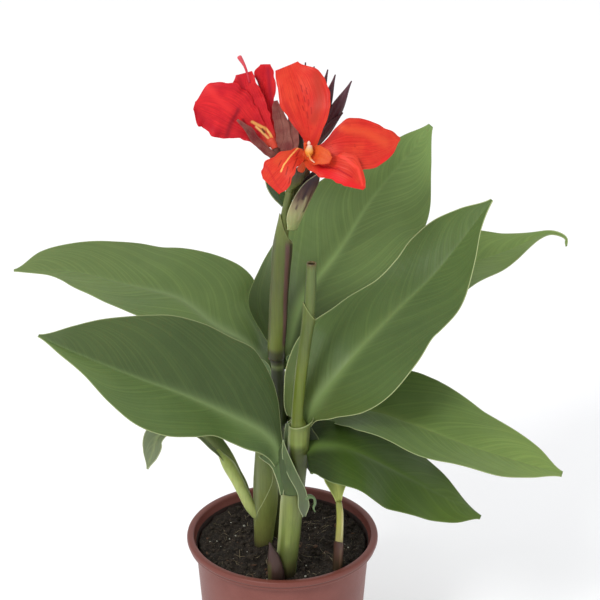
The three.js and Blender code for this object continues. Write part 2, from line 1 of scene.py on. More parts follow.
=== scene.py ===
# Canna lily in a terracotta-coloured grower pot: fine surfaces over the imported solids.
# Lengths in the dictionaries are millimetres. +z is up and the blooms face -y.
import bpy
import math
import numpy as np
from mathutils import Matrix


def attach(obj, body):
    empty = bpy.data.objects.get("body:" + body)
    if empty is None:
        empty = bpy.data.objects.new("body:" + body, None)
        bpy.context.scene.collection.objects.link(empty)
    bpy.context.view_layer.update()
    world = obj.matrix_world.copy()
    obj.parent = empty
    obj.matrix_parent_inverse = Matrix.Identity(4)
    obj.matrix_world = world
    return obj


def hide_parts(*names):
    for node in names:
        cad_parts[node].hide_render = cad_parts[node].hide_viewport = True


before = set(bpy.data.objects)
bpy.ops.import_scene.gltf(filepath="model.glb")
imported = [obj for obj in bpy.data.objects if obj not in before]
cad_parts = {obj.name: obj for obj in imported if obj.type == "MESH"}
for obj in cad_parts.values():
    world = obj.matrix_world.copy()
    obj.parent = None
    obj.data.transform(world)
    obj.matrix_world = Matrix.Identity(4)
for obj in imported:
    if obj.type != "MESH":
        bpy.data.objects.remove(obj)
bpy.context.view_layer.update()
mm = 0.001


# ---- numbers and lines, as whole arrays


def unit(vectors):
    # each vector divided by its length
    return vectors / np.maximum(np.linalg.norm(vectors, axis=-1, keepdims=True), 1e-12)


def smoothStep(low, high, x):
    # 0 below low, 1 above high, and f^2 (3 - 2 f) between them
    f = np.clip((x - low) / (high - low), 0, 1)
    return f * f * (3 - 2 * f)


def cubic(here, there, slopeIn, slopeOut, f):
    # Hermite cubic from one place to the next at the share f of the way
    return ((2 * f**3 - 3 * f**2 + 1) * here + (f**3 - 2 * f**2 + f) * slopeIn
            + (3 * f**2 - 2 * f**3) * there + (f**3 - f**2) * slopeOut)


def eased(values, t):
    # a list given at equal steps, read at t: its slope at an entry is half the step across it
    values = np.asarray(values, float)
    if len(values) == 1:
        values = np.repeat(values, 2, axis=0)
    last = len(values) - 1
    place = np.clip(t, 0, 1) * last
    i = np.minimum(place.astype(int), last - 1)
    f = place - i
    if values.ndim > 1:
        f = f[..., None]
    here, there = values[i], values[i + 1]
    slopeIn = (there - values[np.maximum(i - 1, 0)]) / 2
    slopeOut = (values[np.minimum(i + 2, last)] - here) / 2
    return cubic(here, there, slopeIn, slopeOut, f)


def lineAt(points, t):
    # smooth line through points: centripetal Catmull-Rom, its knots a square root of the chord apart
    points = np.asarray(points, float)
    ends = np.vstack([2 * points[0] - points[1], points, 2 * points[-1] - points[-2]])
    last = len(points) - 1
    place = np.clip(t, 0, 1) * last
    i = np.minimum(place.astype(int), last - 1)
    p0, p1, p2, p3 = (ends[i + k] for k in range(4))
    pairs = ((p0, p1), (p1, p2), (p2, p3))
    d0, d1, d2 = (np.sqrt(np.linalg.norm(b - a, axis=-1))[..., None] for a, b in pairs)
    slopeIn = ((p1 - p0) / d0 - (p2 - p0) / (d0 + d1) + (p2 - p1) / d1) * d1
    slopeOut = ((p2 - p1) / d1 - (p3 - p1) / (d1 + d2) + (p3 - p2) / d2) * d1
    return cubic(p1, p2, slopeIn, slopeOut, (place - i)[..., None])


def followLine(points, share, byLength=True, steps=800):
    # places and directions on the line at shares of its length, or of its count of points
    fine = np.linspace(0, 1, steps + 1)
    places = lineAt(points, fine)
    walked = np.concatenate([[0], np.cumsum(np.linalg.norm(np.diff(places, axis=0), axis=1))])
    t = np.interp(share * walked[-1], walked, fine) if byLength else share
    directions = unit(np.gradient(places, axis=0))
    ahead = np.stack([np.interp(t, fine, directions[:, k]) for k in range(3)], axis=-1)
    return lineAt(points, t), unit(ahead), walked[-1]


def unevenness(x, y, size, seed, cells=64):
    # smooth random heights from -1 to 1: seeded values on a lattice of this size, eased between its corners
    grid = np.random.default_rng(seed).uniform(-1, 1, (cells, cells))
    u, w = x / size, y / size
    i, j = np.floor(u).astype(int), np.floor(w).astype(int)
    f, g = smoothStep(0, 1, u - i), smoothStep(0, 1, w - j)
    corner = [[grid[(i + a) % cells, (j + b) % cells] for b in (0, 1)] for a in (0, 1)]
    return ((corner[0][0] * (1 - g) + corner[0][1] * g) * (1 - f)
            + (corner[1][0] * (1 - g) + corner[1][1] * g) * f)


def display(red, green, blue):
    # a colour as it shows, 0 to 255, to the linear values that shaders take, by the sRGB curve
    c = np.array([red, green, blue]) / 255
    return tuple(np.where(c <= 0.04045, c / 12.92, ((c + 0.055) / 1.055) ** 2.4))


def shown(look):
    # a look with its colours, which are its threes of numbers, turned to linear values
    return {key: display(*value) if isinstance(value, tuple) and len(value) == 3 else value
            for key, value in look.items()}


def toned(paint, share, color):
    # paint + share (colour - paint)
    return paint + share[..., None] * (np.array(display(*color)) - paint)


def flecks(color, *lines):
    # short fine marks of one colour
    return [(0.6, 0.5, color, line) for line in lines]


def markPaint(points, marks):
    # Colour laid along short lines, full on a line and gone its width away: gives colour and share.
    # Each mark is a width, the softness of its edge, a colour and its places in x and z.
    color, share = np.zeros(points.shape), np.zeros(points.shape[:-1])
    place = points[..., [0, 2]]
    for width, softness, tone, line in marks:
        line = np.asarray(line, float)
        near = np.full(share.shape, 1e9)
        for start, end in zip(line[:-1], line[1:]):
            step = end - start
            reach = np.clip((place - start) @ step / (step @ step), 0, 1)
            near = np.minimum(near, np.linalg.norm(place - start - reach[..., None] * step, axis=-1))
        laid = smoothStep(1, 1 - softness, near / width)
        tone = np.array(display(*tone))
        color = np.where(share[..., None] < 1e-3, tone, color + laid[..., None] * (tone - color))
        share = share + laid * (1 - share)
    return color, share


# ---- meshes


def ringFaces(rows, around):
    # four-sided faces between rows of points that close on themselves
    index = np.arange(rows * around).reshape(rows, around)
    nextOne = np.roll(index, -1, axis=1)
    faces = np.stack([index[:-1], index[1:], nextOne[1:], nextOne[:-1]], axis=-1).reshape(-1, 4)
    return index, faces


def plateShell(middle, above, below, maps):
    # closed plate round a grid: middle + normal * above, then back under it at middle - normal * below
    normal = unit(np.cross(np.gradient(middle, axis=0), np.gradient(middle, axis=1)))
    upper = middle + normal * above[..., None]
    lower = middle - normal * below[..., None]
    ring = np.concatenate([upper, lower[:, ::-1]], axis=1)
    index, sides = ringFaces(*ring.shape[:2])
    half = middle.shape[1]
    over, under = index[:, :half], index[:, ::-1][:, :half]
    foot = np.stack([over[0, :-1], over[0, 1:], under[0, 1:], under[0, :-1]], axis=-1)
    tip = np.stack([over[-1, 1:], over[-1, :-1], under[-1, :-1], under[-1, 1:]], axis=-1)
    bothFaces = {key: np.concatenate([top, bottom[:, ::-1]], axis=1).reshape(-1, 3)
                 for key, (top, bottom) in maps.items()}
    return {"points": ring.reshape(-1, 3), "faces": [sides, foot, tip], "maps": bothFaces}


def tubeShell(rings, maps):
    # closed tube through rings of points, with a fan of faces at each end's middle
    rows, around = rings.shape[:2]
    index, sides = ringFaces(rows, around)
    nextOne = np.roll(index, -1, axis=1)
    poles = np.stack([rings[0].mean(axis=0), rings[-1].mean(axis=0)])
    foot = np.stack([np.full(around, rows * around), nextOne[0], index[0]], axis=-1)
    tip = np.stack([np.full(around, rows * around + 1), index[-1], nextOne[-1]], axis=-1)
    points = np.concatenate([rings.reshape(-1, 3), poles])
    flat = {key: np.concatenate([grid.reshape(-1, 3), grid[:1].mean(axis=1), grid[-1:].mean(axis=1)])
            for key, grid in maps.items()}
    return {"points": points, "faces": [sides[:, ::-1], foot, tip], "maps": flat}


def makePiece(name, shells, material, stands=()):
    # one mesh object from its shells, riding on the frame, in place of the named solids
    offsets = np.cumsum([0] + [len(shell["points"]) for shell in shells[:-1]])
    loops, starts, total = [], [], 0
    for shell, offset in zip(shells, offsets):
        for faces in shell["faces"]:
            loops.append((faces + offset).ravel())
            starts.append(total + np.arange(len(faces)) * faces.shape[1])
            total += faces.size
    points = np.concatenate([shell["points"] for shell in shells]) * mm
    mesh = bpy.data.meshes.new(name)
    mesh.vertices.add(len(points))
    mesh.vertices.foreach_set("co", points.astype(np.float32).ravel())
    mesh.loops.add(total)
    mesh.loops.foreach_set("vertex_index", np.concatenate(loops).astype(np.int32))
    starts = np.concatenate(starts).astype(np.int32)
    mesh.polygons.add(len(starts))
    mesh.polygons.foreach_set("loop_start", starts)
    for key in shells[0]["maps"]:
        values = np.concatenate([shell["maps"][key] for shell in shells])
        layer = mesh.attributes.new(key, "FLOAT_VECTOR", "POINT")
        layer.data.foreach_set("vector", values.astype(np.float32).ravel())
    mesh.update(calc_edges=True)
    mesh.validate()
    mesh.shade_smooth()
    mesh.materials.append(material)
    piece = bpy.data.objects.new(name, mesh)
    bpy.context.scene.collection.objects.link(piece)
    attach(piece, "root")
    if stands:
        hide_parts(*stands)
    return piece


# ---- node graphs


def add(tree, kind, values=None, **settings):
    # a node with its settings; values go to its sockets by name or number, as links or as constants
    node = tree.nodes.new(kind)
    for key, value in settings.items():
        setattr(node, key, value)
    for key, value in (values or {}).items():
        if isinstance(value, bpy.types.NodeSocket):
            tree.links.new(value, node.inputs[key])
        else:
            node.inputs[key].default_value = value
    return node


def math2(tree, operation, a, b=0.0):
    # the named operation on one value or two
    return add(tree, "ShaderNodeMath", {0: a, 1: b}, operation=operation).outputs[0]


def times(tree, a, b):
    # a multiplied by b
    return math2(tree, "MULTIPLY", a, b)


def plus(tree, a, b):
    # a added to b
    return math2(tree, "ADD", a, b)


def blend(tree, share, a, b, kind="MIX"):
    # colour a turning into colour b by this share
    a, b = ((*c, 1) if isinstance(c, tuple) and len(c) == 3 else c for c in (a, b))
    return add(tree, "ShaderNodeMix", {0: share, 6: a, 7: b}, data_type="RGBA", blend_type=kind).outputs[2]


def tinted(tree, share, color, tint):
    # the colour, by this share multiplied by the tint
    return blend(tree, share, color, tint, "MULTIPLY")


def spread(tree, value, low, high, toLow=0.0, toHigh=1.0):
    # low..high to toLow..toHigh, by f^2 (3 - 2 f)
    return add(tree, "ShaderNodeMapRange", {0: value, 1: low, 2: high, 3: toLow, 4: toHigh},
               interpolation_type="SMOOTHSTEP").outputs[0]


def scaled(tree, vector, factors):
    # each part of the vector times its own factor
    return add(tree, "ShaderNodeVectorMath", {0: vector, 1: factors}, operation="MULTIPLY").outputs[0]


def split(tree, vector):
    # the vector's three parts
    return add(tree, "ShaderNodeSeparateXYZ", {0: vector}).outputs


def noise(tree, vector, scale, detail, roughness=0.55):
    # layered noise about 0.5: each of its finer layers halves in size and fades by the roughness
    return add(tree, "ShaderNodeTexNoise", {"Vector": vector, "Scale": scale, "Detail": detail,
                                            "Roughness": roughness}).outputs[0]


def startGroup(name, inputs, outputs):
    # An empty node group with named sockets. An input with a plain value is a number and one without is a
    # vector; outputs are numbers.
    tree = bpy.data.node_groups.new(name, "ShaderNodeTree")
    for label, value in inputs.items():
        kind = "NodeSocketVector" if value is None else "NodeSocketFloat"
        socket = tree.interface.new_socket(label, in_out="INPUT", socket_type=kind)
        if value is not None:
            socket.default_value = value
    for label in outputs:
        tree.interface.new_socket(label, in_out="OUTPUT", socket_type="NodeSocketFloat")
    return tree, add(tree, "NodeGroupInput").outputs, add(tree, "NodeGroupOutput").inputs


def useGroup(tree, group, values):
    # add() sets node_tree before the values go in, so the group's sockets are there
    return add(tree, "ShaderNodeGroup", values, node_tree=group).outputs


def inSizes(tree, vector, size):
    # the vector, in metres, counted in sizes of this many millimetres
    perMetre = math2(tree, "DIVIDE", 1000.0, size)
    return add(tree, "ShaderNodeVectorMath", {0: vector, "Scale": perMetre}, operation="SCALE").outputs[0]


# stretch: pace of the noise away from the rib, per metre. otherHalf: its shift on the leaf's other half.
# broad and fine: scale, detail and roughness of each layer. The ranges are where they rise from 0 to 1.
veinPattern = {
    "stretch": 26.0, "otherHalf": 7.3, "broad": (0.42, 1.0, 0.5), "broadRange": (0.46, 0.64),
    "fine": (2.1, 2.0, 0.6), "fineRange": (0.36, 0.66), "broadShare": 0.7,
}


def makeVeins(veins=veinPattern):
    # Side veins: noise drawn out along them, broad bands between the stout ones and fine lines over all.
    # Map is (where the vein leaves the rib, distance from the rib, share of the length), in metres.
    tree, given, out = startGroup("leafVeins", {"Map": None, "Spacing": 3.0}, ["Broad", "Fine", "Height"])
    perMetre = math2(tree, "DIVIDE", 1000.0, given["Spacing"])
    x, y, _ = split(tree, given["Map"])
    away = math2(tree, "ABSOLUTE", y)
    side = times(tree, math2(tree, "GREATER_THAN", y, 0.0), veins["otherHalf"])
    along = add(tree, "ShaderNodeCombineXYZ", {0: times(tree, x, perMetre),
                                               1: times(tree, away, veins["stretch"]), 2: side}).outputs[0]
    broad = spread(tree, noise(tree, along, *veins["broad"]), *veins["broadRange"])
    drawn = scaled(tree, along, (1, 0.5, 1))
    fine = spread(tree, noise(tree, drawn, *veins["fine"]), *veins["fineRange"])
    tree.links.new(broad, out["Broad"])
    tree.links.new(fine, out["Fine"])
    height = plus(tree, times(tree, broad, veins["broadShare"]), times(tree, fine, 1 - veins["broadShare"]))
    tree.links.new(height, out["Height"])
    return tree


def makeDrift():
    # Slow change of tone over a surface, with a little finer grain in it.
    tree, given, out = startGroup("toneDrift", {"Vector": None, "Size": 40.0}, ["Value"])
    placed = inSizes(tree, given["Vector"], given["Size"])
    tree.links.new(spread(tree, noise(tree, placed, 1.0, 4.0, 0.6), 0.32, 0.7), out["Value"])
    return tree


def makeStriae():
    # Upright hair-fine lines on a stem: noise squeezed across z and drawn out along it.
    tree, given, out = startGroup("stemStriae", {"Vector": None, "Spacing": 1.0}, ["Value", "Height"])
    placed = inSizes(tree, given["Vector"], given["Spacing"])
    fine = noise(tree, scaled(tree, placed, (1, 1, 0.03)), 0.55, 2.0, 0.6)
    tree.links.new(spread(tree, fine, 0.35, 0.66), out["Value"])
    tree.links.new(fine, out["Height"])
    return tree


veinGroup = makeVeins()
driftGroup = makeDrift()
striaGroup = makeStriae()


def startMaterial(name, settings):
    # an empty surface with its shader's plain values
    material = bpy.data.materials.new(name)
    material.use_nodes = True
    tree = material.node_tree
    tree.nodes.clear()
    shader = add(tree, "ShaderNodeBsdfPrincipled", settings)
    add(tree, "ShaderNodeOutputMaterial", {0: shader.outputs[0]})
    return material, tree, shader


def toneDrift(tree, place, size):
    # the slow change of tone with patches of this size in mm
    return useGroup(tree, driftGroup, {"Vector": place, "Size": size})["Value"]


def attribute(tree, name):
    # one of the piece's own maps
    return add(tree, "ShaderNodeAttribute", attribute_name=name, attribute_type="GEOMETRY").outputs["Vector"]


def here(tree):
    # the place on the piece, in metres
    return add(tree, "ShaderNodeTexCoord").outputs["Object"]


def finish(tree, shader, color, roughness=None, height=None, depth=0.1, strength=0.4):
    # links colour, roughness and a bump of this depth in mm to the shader
    tree.links.new(color, shader.inputs["Base Color"])
    if roughness is not None:
        tree.links.new(roughness, shader.inputs["Roughness"])
    if height is not None:
        bump = add(tree, "ShaderNodeBump", {"Height": height, "Distance": depth * mm, "Strength": strength})
        tree.links.new(bump.outputs[0], shader.inputs["Normal"])


print("groups and helpers ready")


# ---- leaves

# rib: the midrib from foot to tip. faces: where the upper face looks, at equal steps. left and right:
# half-widths, left being on the left when looking along the rib; right is left out where both are equal.
# fold: rise of the halves in degrees. wave: height, count and phase in the margin. hug: stem radius and
# the share of the rib that wraps it.
leaves = {
    "leafFrontLeft": {
        "node": "leaf_front_left",
        "rib": [(1.4, -69, 260), (-4, -71, 273), (-15, -76, 289), (-40, -85, 309), (-76, -95, 333),
                (-117, -100, 353), (-167, -100, 376), (-193, -95, 387)],
        "faces": [(0.3, -0.8, 0.5), (0.3, -0.6, 0.7), (0.2, -0.45, 0.87), (0.1, -0.4, 0.9),
                  (0.1, -0.3, 0.9)],
        "left": [9, 14, 20, 24, 32, 50, 64, 64, 49, 26, 12, 1],
        "right": [4, 14, 44, 60, 63, 65, 62, 57, 49, 37, 20, 2], "fold": [0, 10, 20, 20, 26],
        "wave": (2, 3, 0.1),
    },
    "leafBackLeft": {
        "node": "leaf_back_left",
        "rib": [(-9.2, 3, 296), (-13, 7, 310), (-28, 17, 325), (-58, 30, 338), (-90, 50, 354),
                (-137, 65, 361), (-185, 70, 371), (-233, 60, 376)],
        "faces": [(0.9, -0.1, 0.2), (0.3, -0.4, 0.8), (0.1, -0.18, 0.97), (0, -0.2, 0.97)],
        "left": [7, 11, 22, 38, 48, 46, 49, 46, 36, 29, 13, 1],
        "right": [7, 20, 40, 59, 62, 53, 52, 55, 45, 33, 22, 2], "fold": [0, 12, 11, 16],
        "wave": (2, 3, 0.5), "hug": (7, 0.05),
    },
    "leafFrontRight": {
        "node": "leaf_front_right",
        "rib": [(19.6, -57, 288), (22, -56, 297), (30, -55, 310), (59, -45, 344), (97, -15, 373),
                (130, 5, 399), (176, 20, 458)],
        "faces": [(-0.5, -0.86, 0.2), (-0.6, -0.65, 0.5), (-0.5, -0.6, 0.6), (-0.4, -0.6, 0.6)],
        "left": [18, 37, 47, 48, 45, 43, 34, 33, 37, 33, 19, 2],
        "right": [6, 22, 43, 57, 60, 57, 56, 49, 38, 26, 9, 1], "fold": [0, 10, 12, 10],
        "wave": (2.5, 3, 0.3),
    },
    "leafRightLong": {
        "node": "leaf_right_long",
        "rib": [(6.9, -1, 256), (11.5, -4, 267), (27, -12, 275), (76, -30, 286), (112, -50, 283),
                (151, -70, 276), (173, -80, 273), (231, -95, 261)],
        "faces": [(-0.9, 0, 0.2), (-0.2, -0.1, 0.95), (0, -0.1, 1), (0, -0.1, 1)],
        "left": [9, 11, 20, 36, 52, 52, 49, 46, 41, 32, 21, 4],
        "right": [9, 8, 13, 28, 44, 44, 46, 45, 42, 35, 19, 4], "fold": [0, 14, 11, 10],
        "wave": (2, 3, 0.7), "hug": (7, 0.05),
    },
    "leafTallBack": {
        "node": "leaf_tall_back",
        "rib": [(3, 5, 308), (7, 13, 330), (18.2, 30, 362), (51, 60, 398), (78, 85, 433), (129, 90, 498)],
        "faces": [(-0.6, -0.6, 0.2), (-0.5, -0.8, 0.4), (-0.45, -0.75, 0.5), (-0.45, -0.75, 0.45)],
        "left": [7, 29, 51, 50, 51, 59, 60, 47, 32, 24, 15, 4],
        "right": [7, 23, 40, 48, 55, 60, 64, 64, 63, 54, 28, 1], "fold": [0, 8, 12, 12],
        "wave": (2, 3, 0.2), "hug": (7, 0.04),
    },
    "leafLowRight": {
        "node": "leaf_low_right",
        "rib": [(20.5, -61, 266), (29, -61, 269), (43, -60, 268.5), (61, -60, 264), (98, -60, 244),
                (131, -65, 227), (168, -75, 210)],
        "faces": [(-0.1, -0.35, 0.9), (0.1, -0.25, 0.95), (0.2, -0.25, 0.95), (0.2, -0.25, 0.95)],
        "left": [30, 29, 27, 34, 43, 44, 41, 36, 27, 16, 8, 1],
        "right": [26, 38, 42, 47, 51, 48, 44, 41, 35, 27, 19, 4], "fold": [0, 4, -3, -5],
        "wave": (2, 3, 0.9),
    },
    "leafBackRight": {
        "node": "leaf_back_right",
        "rib": [(3.8, 5.8, 289), (12, 12, 305), (40, 35, 325), (100, 72, 350), (150, 95, 362),
                (200, 112, 373), (240, 125, 385), (254, 125, 380), (255, 125, 372)],
        "faces": [(-0.8, -0.4, 0.2), (-0.2, -0.3, 0.9), (0, -0.2, 1), (0, -0.2, 1)],
        "left": [7, 10, 19, 33, 41, 45, 46, 43, 34, 20, 4, 1],
        "right": [7, 10, 19, 33, 42, 48, 50, 42, 28, 16, 7, 1], "fold": [0, 12, 11, 10],
        "wave": (3, 4, 0.4), "hug": (7, 0.04),
    },
    "leafSmallLeft": {
        "node": "leaf_small_left",
        "rib": [(-26, -8, 172), (-36, -7, 197), (-47, -2, 219), (-58, 5, 231), (-74, 12, 242),
                (-96, 18, 243), (-109, 17, 236), (-114, 15, 222), (-119, 13, 206)],
        "faces": [(0.8, -0.3, 0.5), (0.5, -0.3, 0.8), (0.1, -0.4, 0.9), (-0.3, -0.7, 0.5)],
        "left": [5, 7, 8, 7, 9, 12, 7, 3, 5, 9, 7, 1], "right": [5, 7, 8, 7, 9, 12, 14, 16, 15, 12, 9, 1],
        "fold": [20, 24, 16, 10], "wave": (1, 2, 0.4),
    },
    "youngLeafRight": {
        "node": "young_leaf_right",
        "rib": [(48.8, -47, 208), (47, -45, 222), (46, -42, 238), (48, -38, 254)],
        "faces": [(0.2, -0.9, 0.2)], "left": [2.4, 7, 12, 9, 1], "fold": [24, 18], "wave": (0.5, 2, 0),
    },
}

underside = np.array([0, 0, 1.0])  # added to a blade's marks on its lower face

leafBuild = {
    "rowSpacing": 2.2, "columns": 48, "thickness": 1.0, "edgeThickness": 0.4, "keel": 1.5, "groove": 0.5,
    "bandHeight": 0.1, "bandSpacing": 7.0, "veinLean": 1.1, "veinSweep": 0.24, "unevenness": 0.8,
    "firstSeed": 11,
}


def bladeGrid(blade, rows, columns):
    # Middle surface of a blade: rib + left * (d cos fold) + up * (|d| sin fold + wave), d = v * half-width;
    # near the foot the section bends to a circle, (R sin(d / R), R (1 - cos(d / R))).
    t = np.linspace(0, 1, rows + 1)
    s = np.linspace(-1, 1, columns + 1)
    v = s - 0.1 * np.sin(2 * np.pi * s)  # columns stand closer at the rib and the margins
    origin, ahead, length = followLine(blade["rib"], t)
    left = unit(np.cross(eased(blade["faces"], t), ahead))
    up = np.cross(ahead, left)
    t2, v2 = t[:, None], v[None, :]
    halves = [eased(blade.get(key, blade["left"]), t)[:, None] for key in ("right", "left")]
    half = np.where(v2 < 0, *halves)
    half = np.maximum(half, 0.5)
    distance = v2 * half
    fold = np.radians(eased(blade["fold"], t))[:, None]
    height, count, phase = blade.get("wave", (0, 1, 0))
    swell = np.sqrt(np.sin(np.pi * np.minimum(t2, 1)) + 1e-6)
    shift = np.where(v2 < 0, 0.37, 0)
    wave = height * swell * v2**2 * np.sin(2 * np.pi * (count * t2 + phase + shift))
    sideways = distance * np.cos(fold)
    upwards = np.abs(distance) * np.sin(fold) + wave
    if "hug" in blade:
        radius, share = blade["hug"]
        hug = 1 - smoothStep(share, 2.2 * share, t2)
        sideways = sideways + hug * (radius * np.sin(distance / radius) - sideways)
        upwards = upwards + hug * (radius * (1 - np.cos(distance / radius)) - upwards)
    points = origin[:, None] + left[:, None] * sideways[..., None] + up[:, None] * upwards[..., None]
    return {"t": np.broadcast_to(t2, distance.shape), "v": np.broadcast_to(v2, distance.shape), "half": half,
            "distance": distance, "length": length, "left": left, "up": up, "points": points}


def ribLength(blade):
    # the sum of the steps between the rib's points
    return np.linalg.norm(np.diff(np.asarray(blade["rib"], float), axis=0), axis=1).sum()


def leafShell(leaf, seed, build=leafBuild):
    # A leaf: the blade, low bands between side veins, a groove over the rib and a keel under it, thinning
    # towards the margins. A side vein leaves the rib at s - lean |d| - sweep length |v|^3 and arches forward.
    grid = bladeGrid(leaf, int(ribLength(leaf) / build["rowSpacing"]), build["columns"])
    t, v, d = grid["t"], grid["v"], grid["distance"]
    along = t * grid["length"]
    veinFoot = along - build["veinLean"] * np.abs(d) - build["veinSweep"] * grid["length"] * np.abs(v) ** 3
    offRib = smoothStep(0.04, 0.2, np.abs(v)) * (1 - smoothStep(0.75, 1, np.abs(v)))
    bands = build["bandHeight"] * np.sin(2 * np.pi * veinFoot / build["bandSpacing"]) * offRib
    swell = build["unevenness"] * unevenness(along, d + 90, 26, seed) * smoothStep(0.1, 0.5, np.abs(v))
    ribWidth = 1.0 + 2.8 * (1 - t)
    onRib = np.exp(-(d / ribWidth) ** 2)
    thin = build["edgeThickness"] + (build["thickness"] - build["edgeThickness"]) * (1 - v**2)
    above = thin / 2 + bands + swell - build["groove"] * onRib * (1 - 0.6 * t)
    below = thin / 2 - bands - swell + build["keel"] * onRib * (1 - t)
    tipFade = 1 - smoothStep(0.9, 1, t)
    above = thin / 2 + (above - thin / 2) * tipFade
    below = thin / 2 + (below - thin / 2) * tipFade
    rim = smoothStep(0.9, 0.3, grid["half"] - np.abs(d))
    leafMap = np.stack([veinFoot * mm, d * mm, t], axis=-1)
    marks = np.stack([onRib, rim, np.zeros_like(t)], axis=-1)
    maps = {"leafMap": (leafMap, leafMap), "leafMarks": (marks, marks + underside)}
    return plateShell(grid["points"], above, below, maps)


# What every leaf shares. The tints multiply its green. turn, tipTurn, ribFade and haloFade are shares of
# the length, the last two with their strength at each end. halfTurn and haloReach are metres off the rib.
leafSurface = {
    "roughness": 0.52, "specular": 0.28, "glow": 0.04, "veinSpacing": 2.4, "driftSize": 45.0,
    "vein": 0.42, "fineVein": 0.36, "rim": 0.6, "under": 0.85, "underDulls": 0.2, "turn": (0.02, 0.3),
    "tipTurn": (0.45, 1.0), "halfTurn": (-0.004, 0.004), "ribFade": (0.2, 0.95, 0.95, 0.25),
    "haloReach": (0.011, 0.0), "haloFade": (0.1, 0.8, 0.6, 0.0), "broadTint": (1.4, 1.34, 1.34),
    "fineTint": (0.74, 0.77, 0.74), "driftTint": (0.88, 0.9, 0.9), "bump": (0.12, 0.4),
}

# Each leaf's green at its foot, middle and tip, its rib, margin and underside. halves: brightness of the
# left and the right half, painted light on one half and painted shade on the other. turn: shares of the
# length between which the foot's green gives way.
leafLooks = {
    "leafFrontLeft": {
        "foot": (62, 80, 38), "middle": (72, 92, 44), "tip": (84, 103, 53), "rib": (102, 122, 72),
        "margin": (172, 182, 130), "under": (84, 106, 70), "slot": "leaf_green", "halves": (1.22, 0.7),
    },
    "leafBackLeft": {
        "foot": (66, 84, 40), "middle": (84, 104, 52), "tip": (98, 116, 64), "rib": (104, 122, 76),
        "margin": (160, 172, 118), "under": (90, 112, 74), "slot": "leaf_green", "halves": (1.12, 1.0),
    },
    "leafFrontRight": {
        # its margin is the real pale margin made brighter still with a painted highlight
        "foot": (70, 85, 31), "middle": (69, 89, 40), "tip": (75, 97, 41), "rib": (98, 118, 64),
        "margin": (198, 206, 150), "under": (90, 114, 74), "slot": "leaf_green",
    },
    "leafRightLong": {
        "foot": (68, 86, 38), "middle": (86, 108, 50), "tip": (110, 132, 64), "rib": (108, 128, 68),
        "margin": (168, 178, 126), "under": (88, 110, 74), "slot": "leaf_green",
    },
    "leafTallBack": {
        # painted shade: the foot's green is darkened where the stems shade it
        "foot": (42, 57, 12), "middle": (88, 109, 55), "tip": (106, 131, 68), "rib": (122, 146, 84),
        "margin": (132, 150, 92), "under": (90, 112, 74), "slot": "leaf_green", "turn": (0.14, 0.5),
    },
    "leafLowRight": {
        # painted shade: all its greens are darkened for the shadow of the leaf above it
        "foot": (34, 48, 12), "middle": (62, 84, 26), "tip": (82, 104, 40), "rib": (80, 102, 44),
        "margin": (128, 144, 88), "under": (76, 98, 62), "slot": "leaf_dark_green",
    },
    "leafBackRight": {
        "foot": (76, 96, 44), "middle": (104, 127, 62), "tip": (110, 132, 66), "rib": (116, 138, 72),
        "margin": (172, 182, 132), "under": (98, 122, 78), "slot": "leaf_green",
    },
    "leafSmallLeft": {
        # painted light: foot and underside are pale for light on the stalk end, which faces away from the
        # lamp
        "foot": (134, 146, 84), "middle": (76, 92, 38), "tip": (104, 114, 84), "rib": (146, 156, 104),
        "margin": (186, 192, 150), "under": (132, 144, 90), "slot": "leaf_green", "turn": (0.3, 0.42),
    },
    "youngLeafRight": {
        "foot": (134, 146, 60), "middle": (98, 112, 44), "tip": (62, 78, 32), "rib": (150, 158, 80),
        "margin": (190, 196, 120), "under": (130, 144, 66), "slot": "young_leaf_green",
    },
}


def leafSkin(name, look, surface=leafSurface):
    # Satin leaf: its green runs from foot to tip, side veins and slow drift lighten and darken it; the rib
    # is pale towards the foot, the margin a pale line and the underside duller. Painted light and shade make
    # one half of the blade lighter than the other.
    look = shown(look)
    material, tree, shader = startMaterial(name, {
        "Roughness": surface["roughness"], "Subsurface Scale": 0.002,
        "Specular IOR Level": surface["specular"], "Subsurface Weight": surface["glow"]})
    leafMap = attribute(tree, "leafMap")
    rib, rim, under = split(tree, attribute(tree, "leafMarks"))
    veins = useGroup(tree, veinGroup, {"Map": leafMap, "Spacing": surface["veinSpacing"]})
    drift = toneDrift(tree, here(tree), surface["driftSize"])
    along = split(tree, leafMap)[2]
    turn = spread(tree, along, *look.get("turn", surface["turn"]))
    green = blend(tree, turn, look["foot"], look["middle"])
    green = blend(tree, spread(tree, along, *surface["tipTurn"]), green, look["tip"])
    green = tinted(tree, times(tree, veins["Broad"], surface["vein"]), green, surface["broadTint"])
    green = tinted(tree, times(tree, veins["Fine"], surface["fineVein"]), green, surface["fineTint"])
    # painted light and shade: the halves brighten one side of the blade and darken the other
    half = spread(tree, split(tree, leafMap)[1], *surface["halfTurn"])
    left, right = look.get("halves", (1, 1))
    green = tinted(tree, 1.0, green, blend(tree, half, (right,) * 3, (left,) * 3))
    green = tinted(tree, drift, green, surface["driftTint"])
    green = blend(tree, times(tree, under, surface["under"]), green, look["under"])
    paleRib = times(tree, rib, spread(tree, along, *surface["ribFade"]))
    away = math2(tree, "ABSOLUTE", split(tree, leafMap)[1])
    beside = spread(tree, away, *surface["haloReach"])
    halo = times(tree, beside, spread(tree, along, *surface["haloFade"]))
    green = blend(tree, halo, green, look["rib"])
    ribbed = blend(tree, paleRib, green, look["rib"])
    edged = blend(tree, times(tree, rim, surface["rim"]), ribbed, look["margin"])
    dull = spread(tree, veins["Fine"], 0.0, 1.0, surface["roughness"] - 0.05, surface["roughness"] + 0.06)
    dull = plus(tree, dull, times(tree, under, surface["underDulls"]))
    finish(tree, shader, edged, dull, veins["Height"], *surface["bump"])
    return material


for seed, (name, leaf) in enumerate(leaves.items(), leafBuild["firstSeed"]):
    look = leafLooks[name]
    makePiece(name, [leafShell(leaf, seed)], leafSkin(name, look), [leaf["node"]])
print("leaves made")


# ---- stems and other round pieces

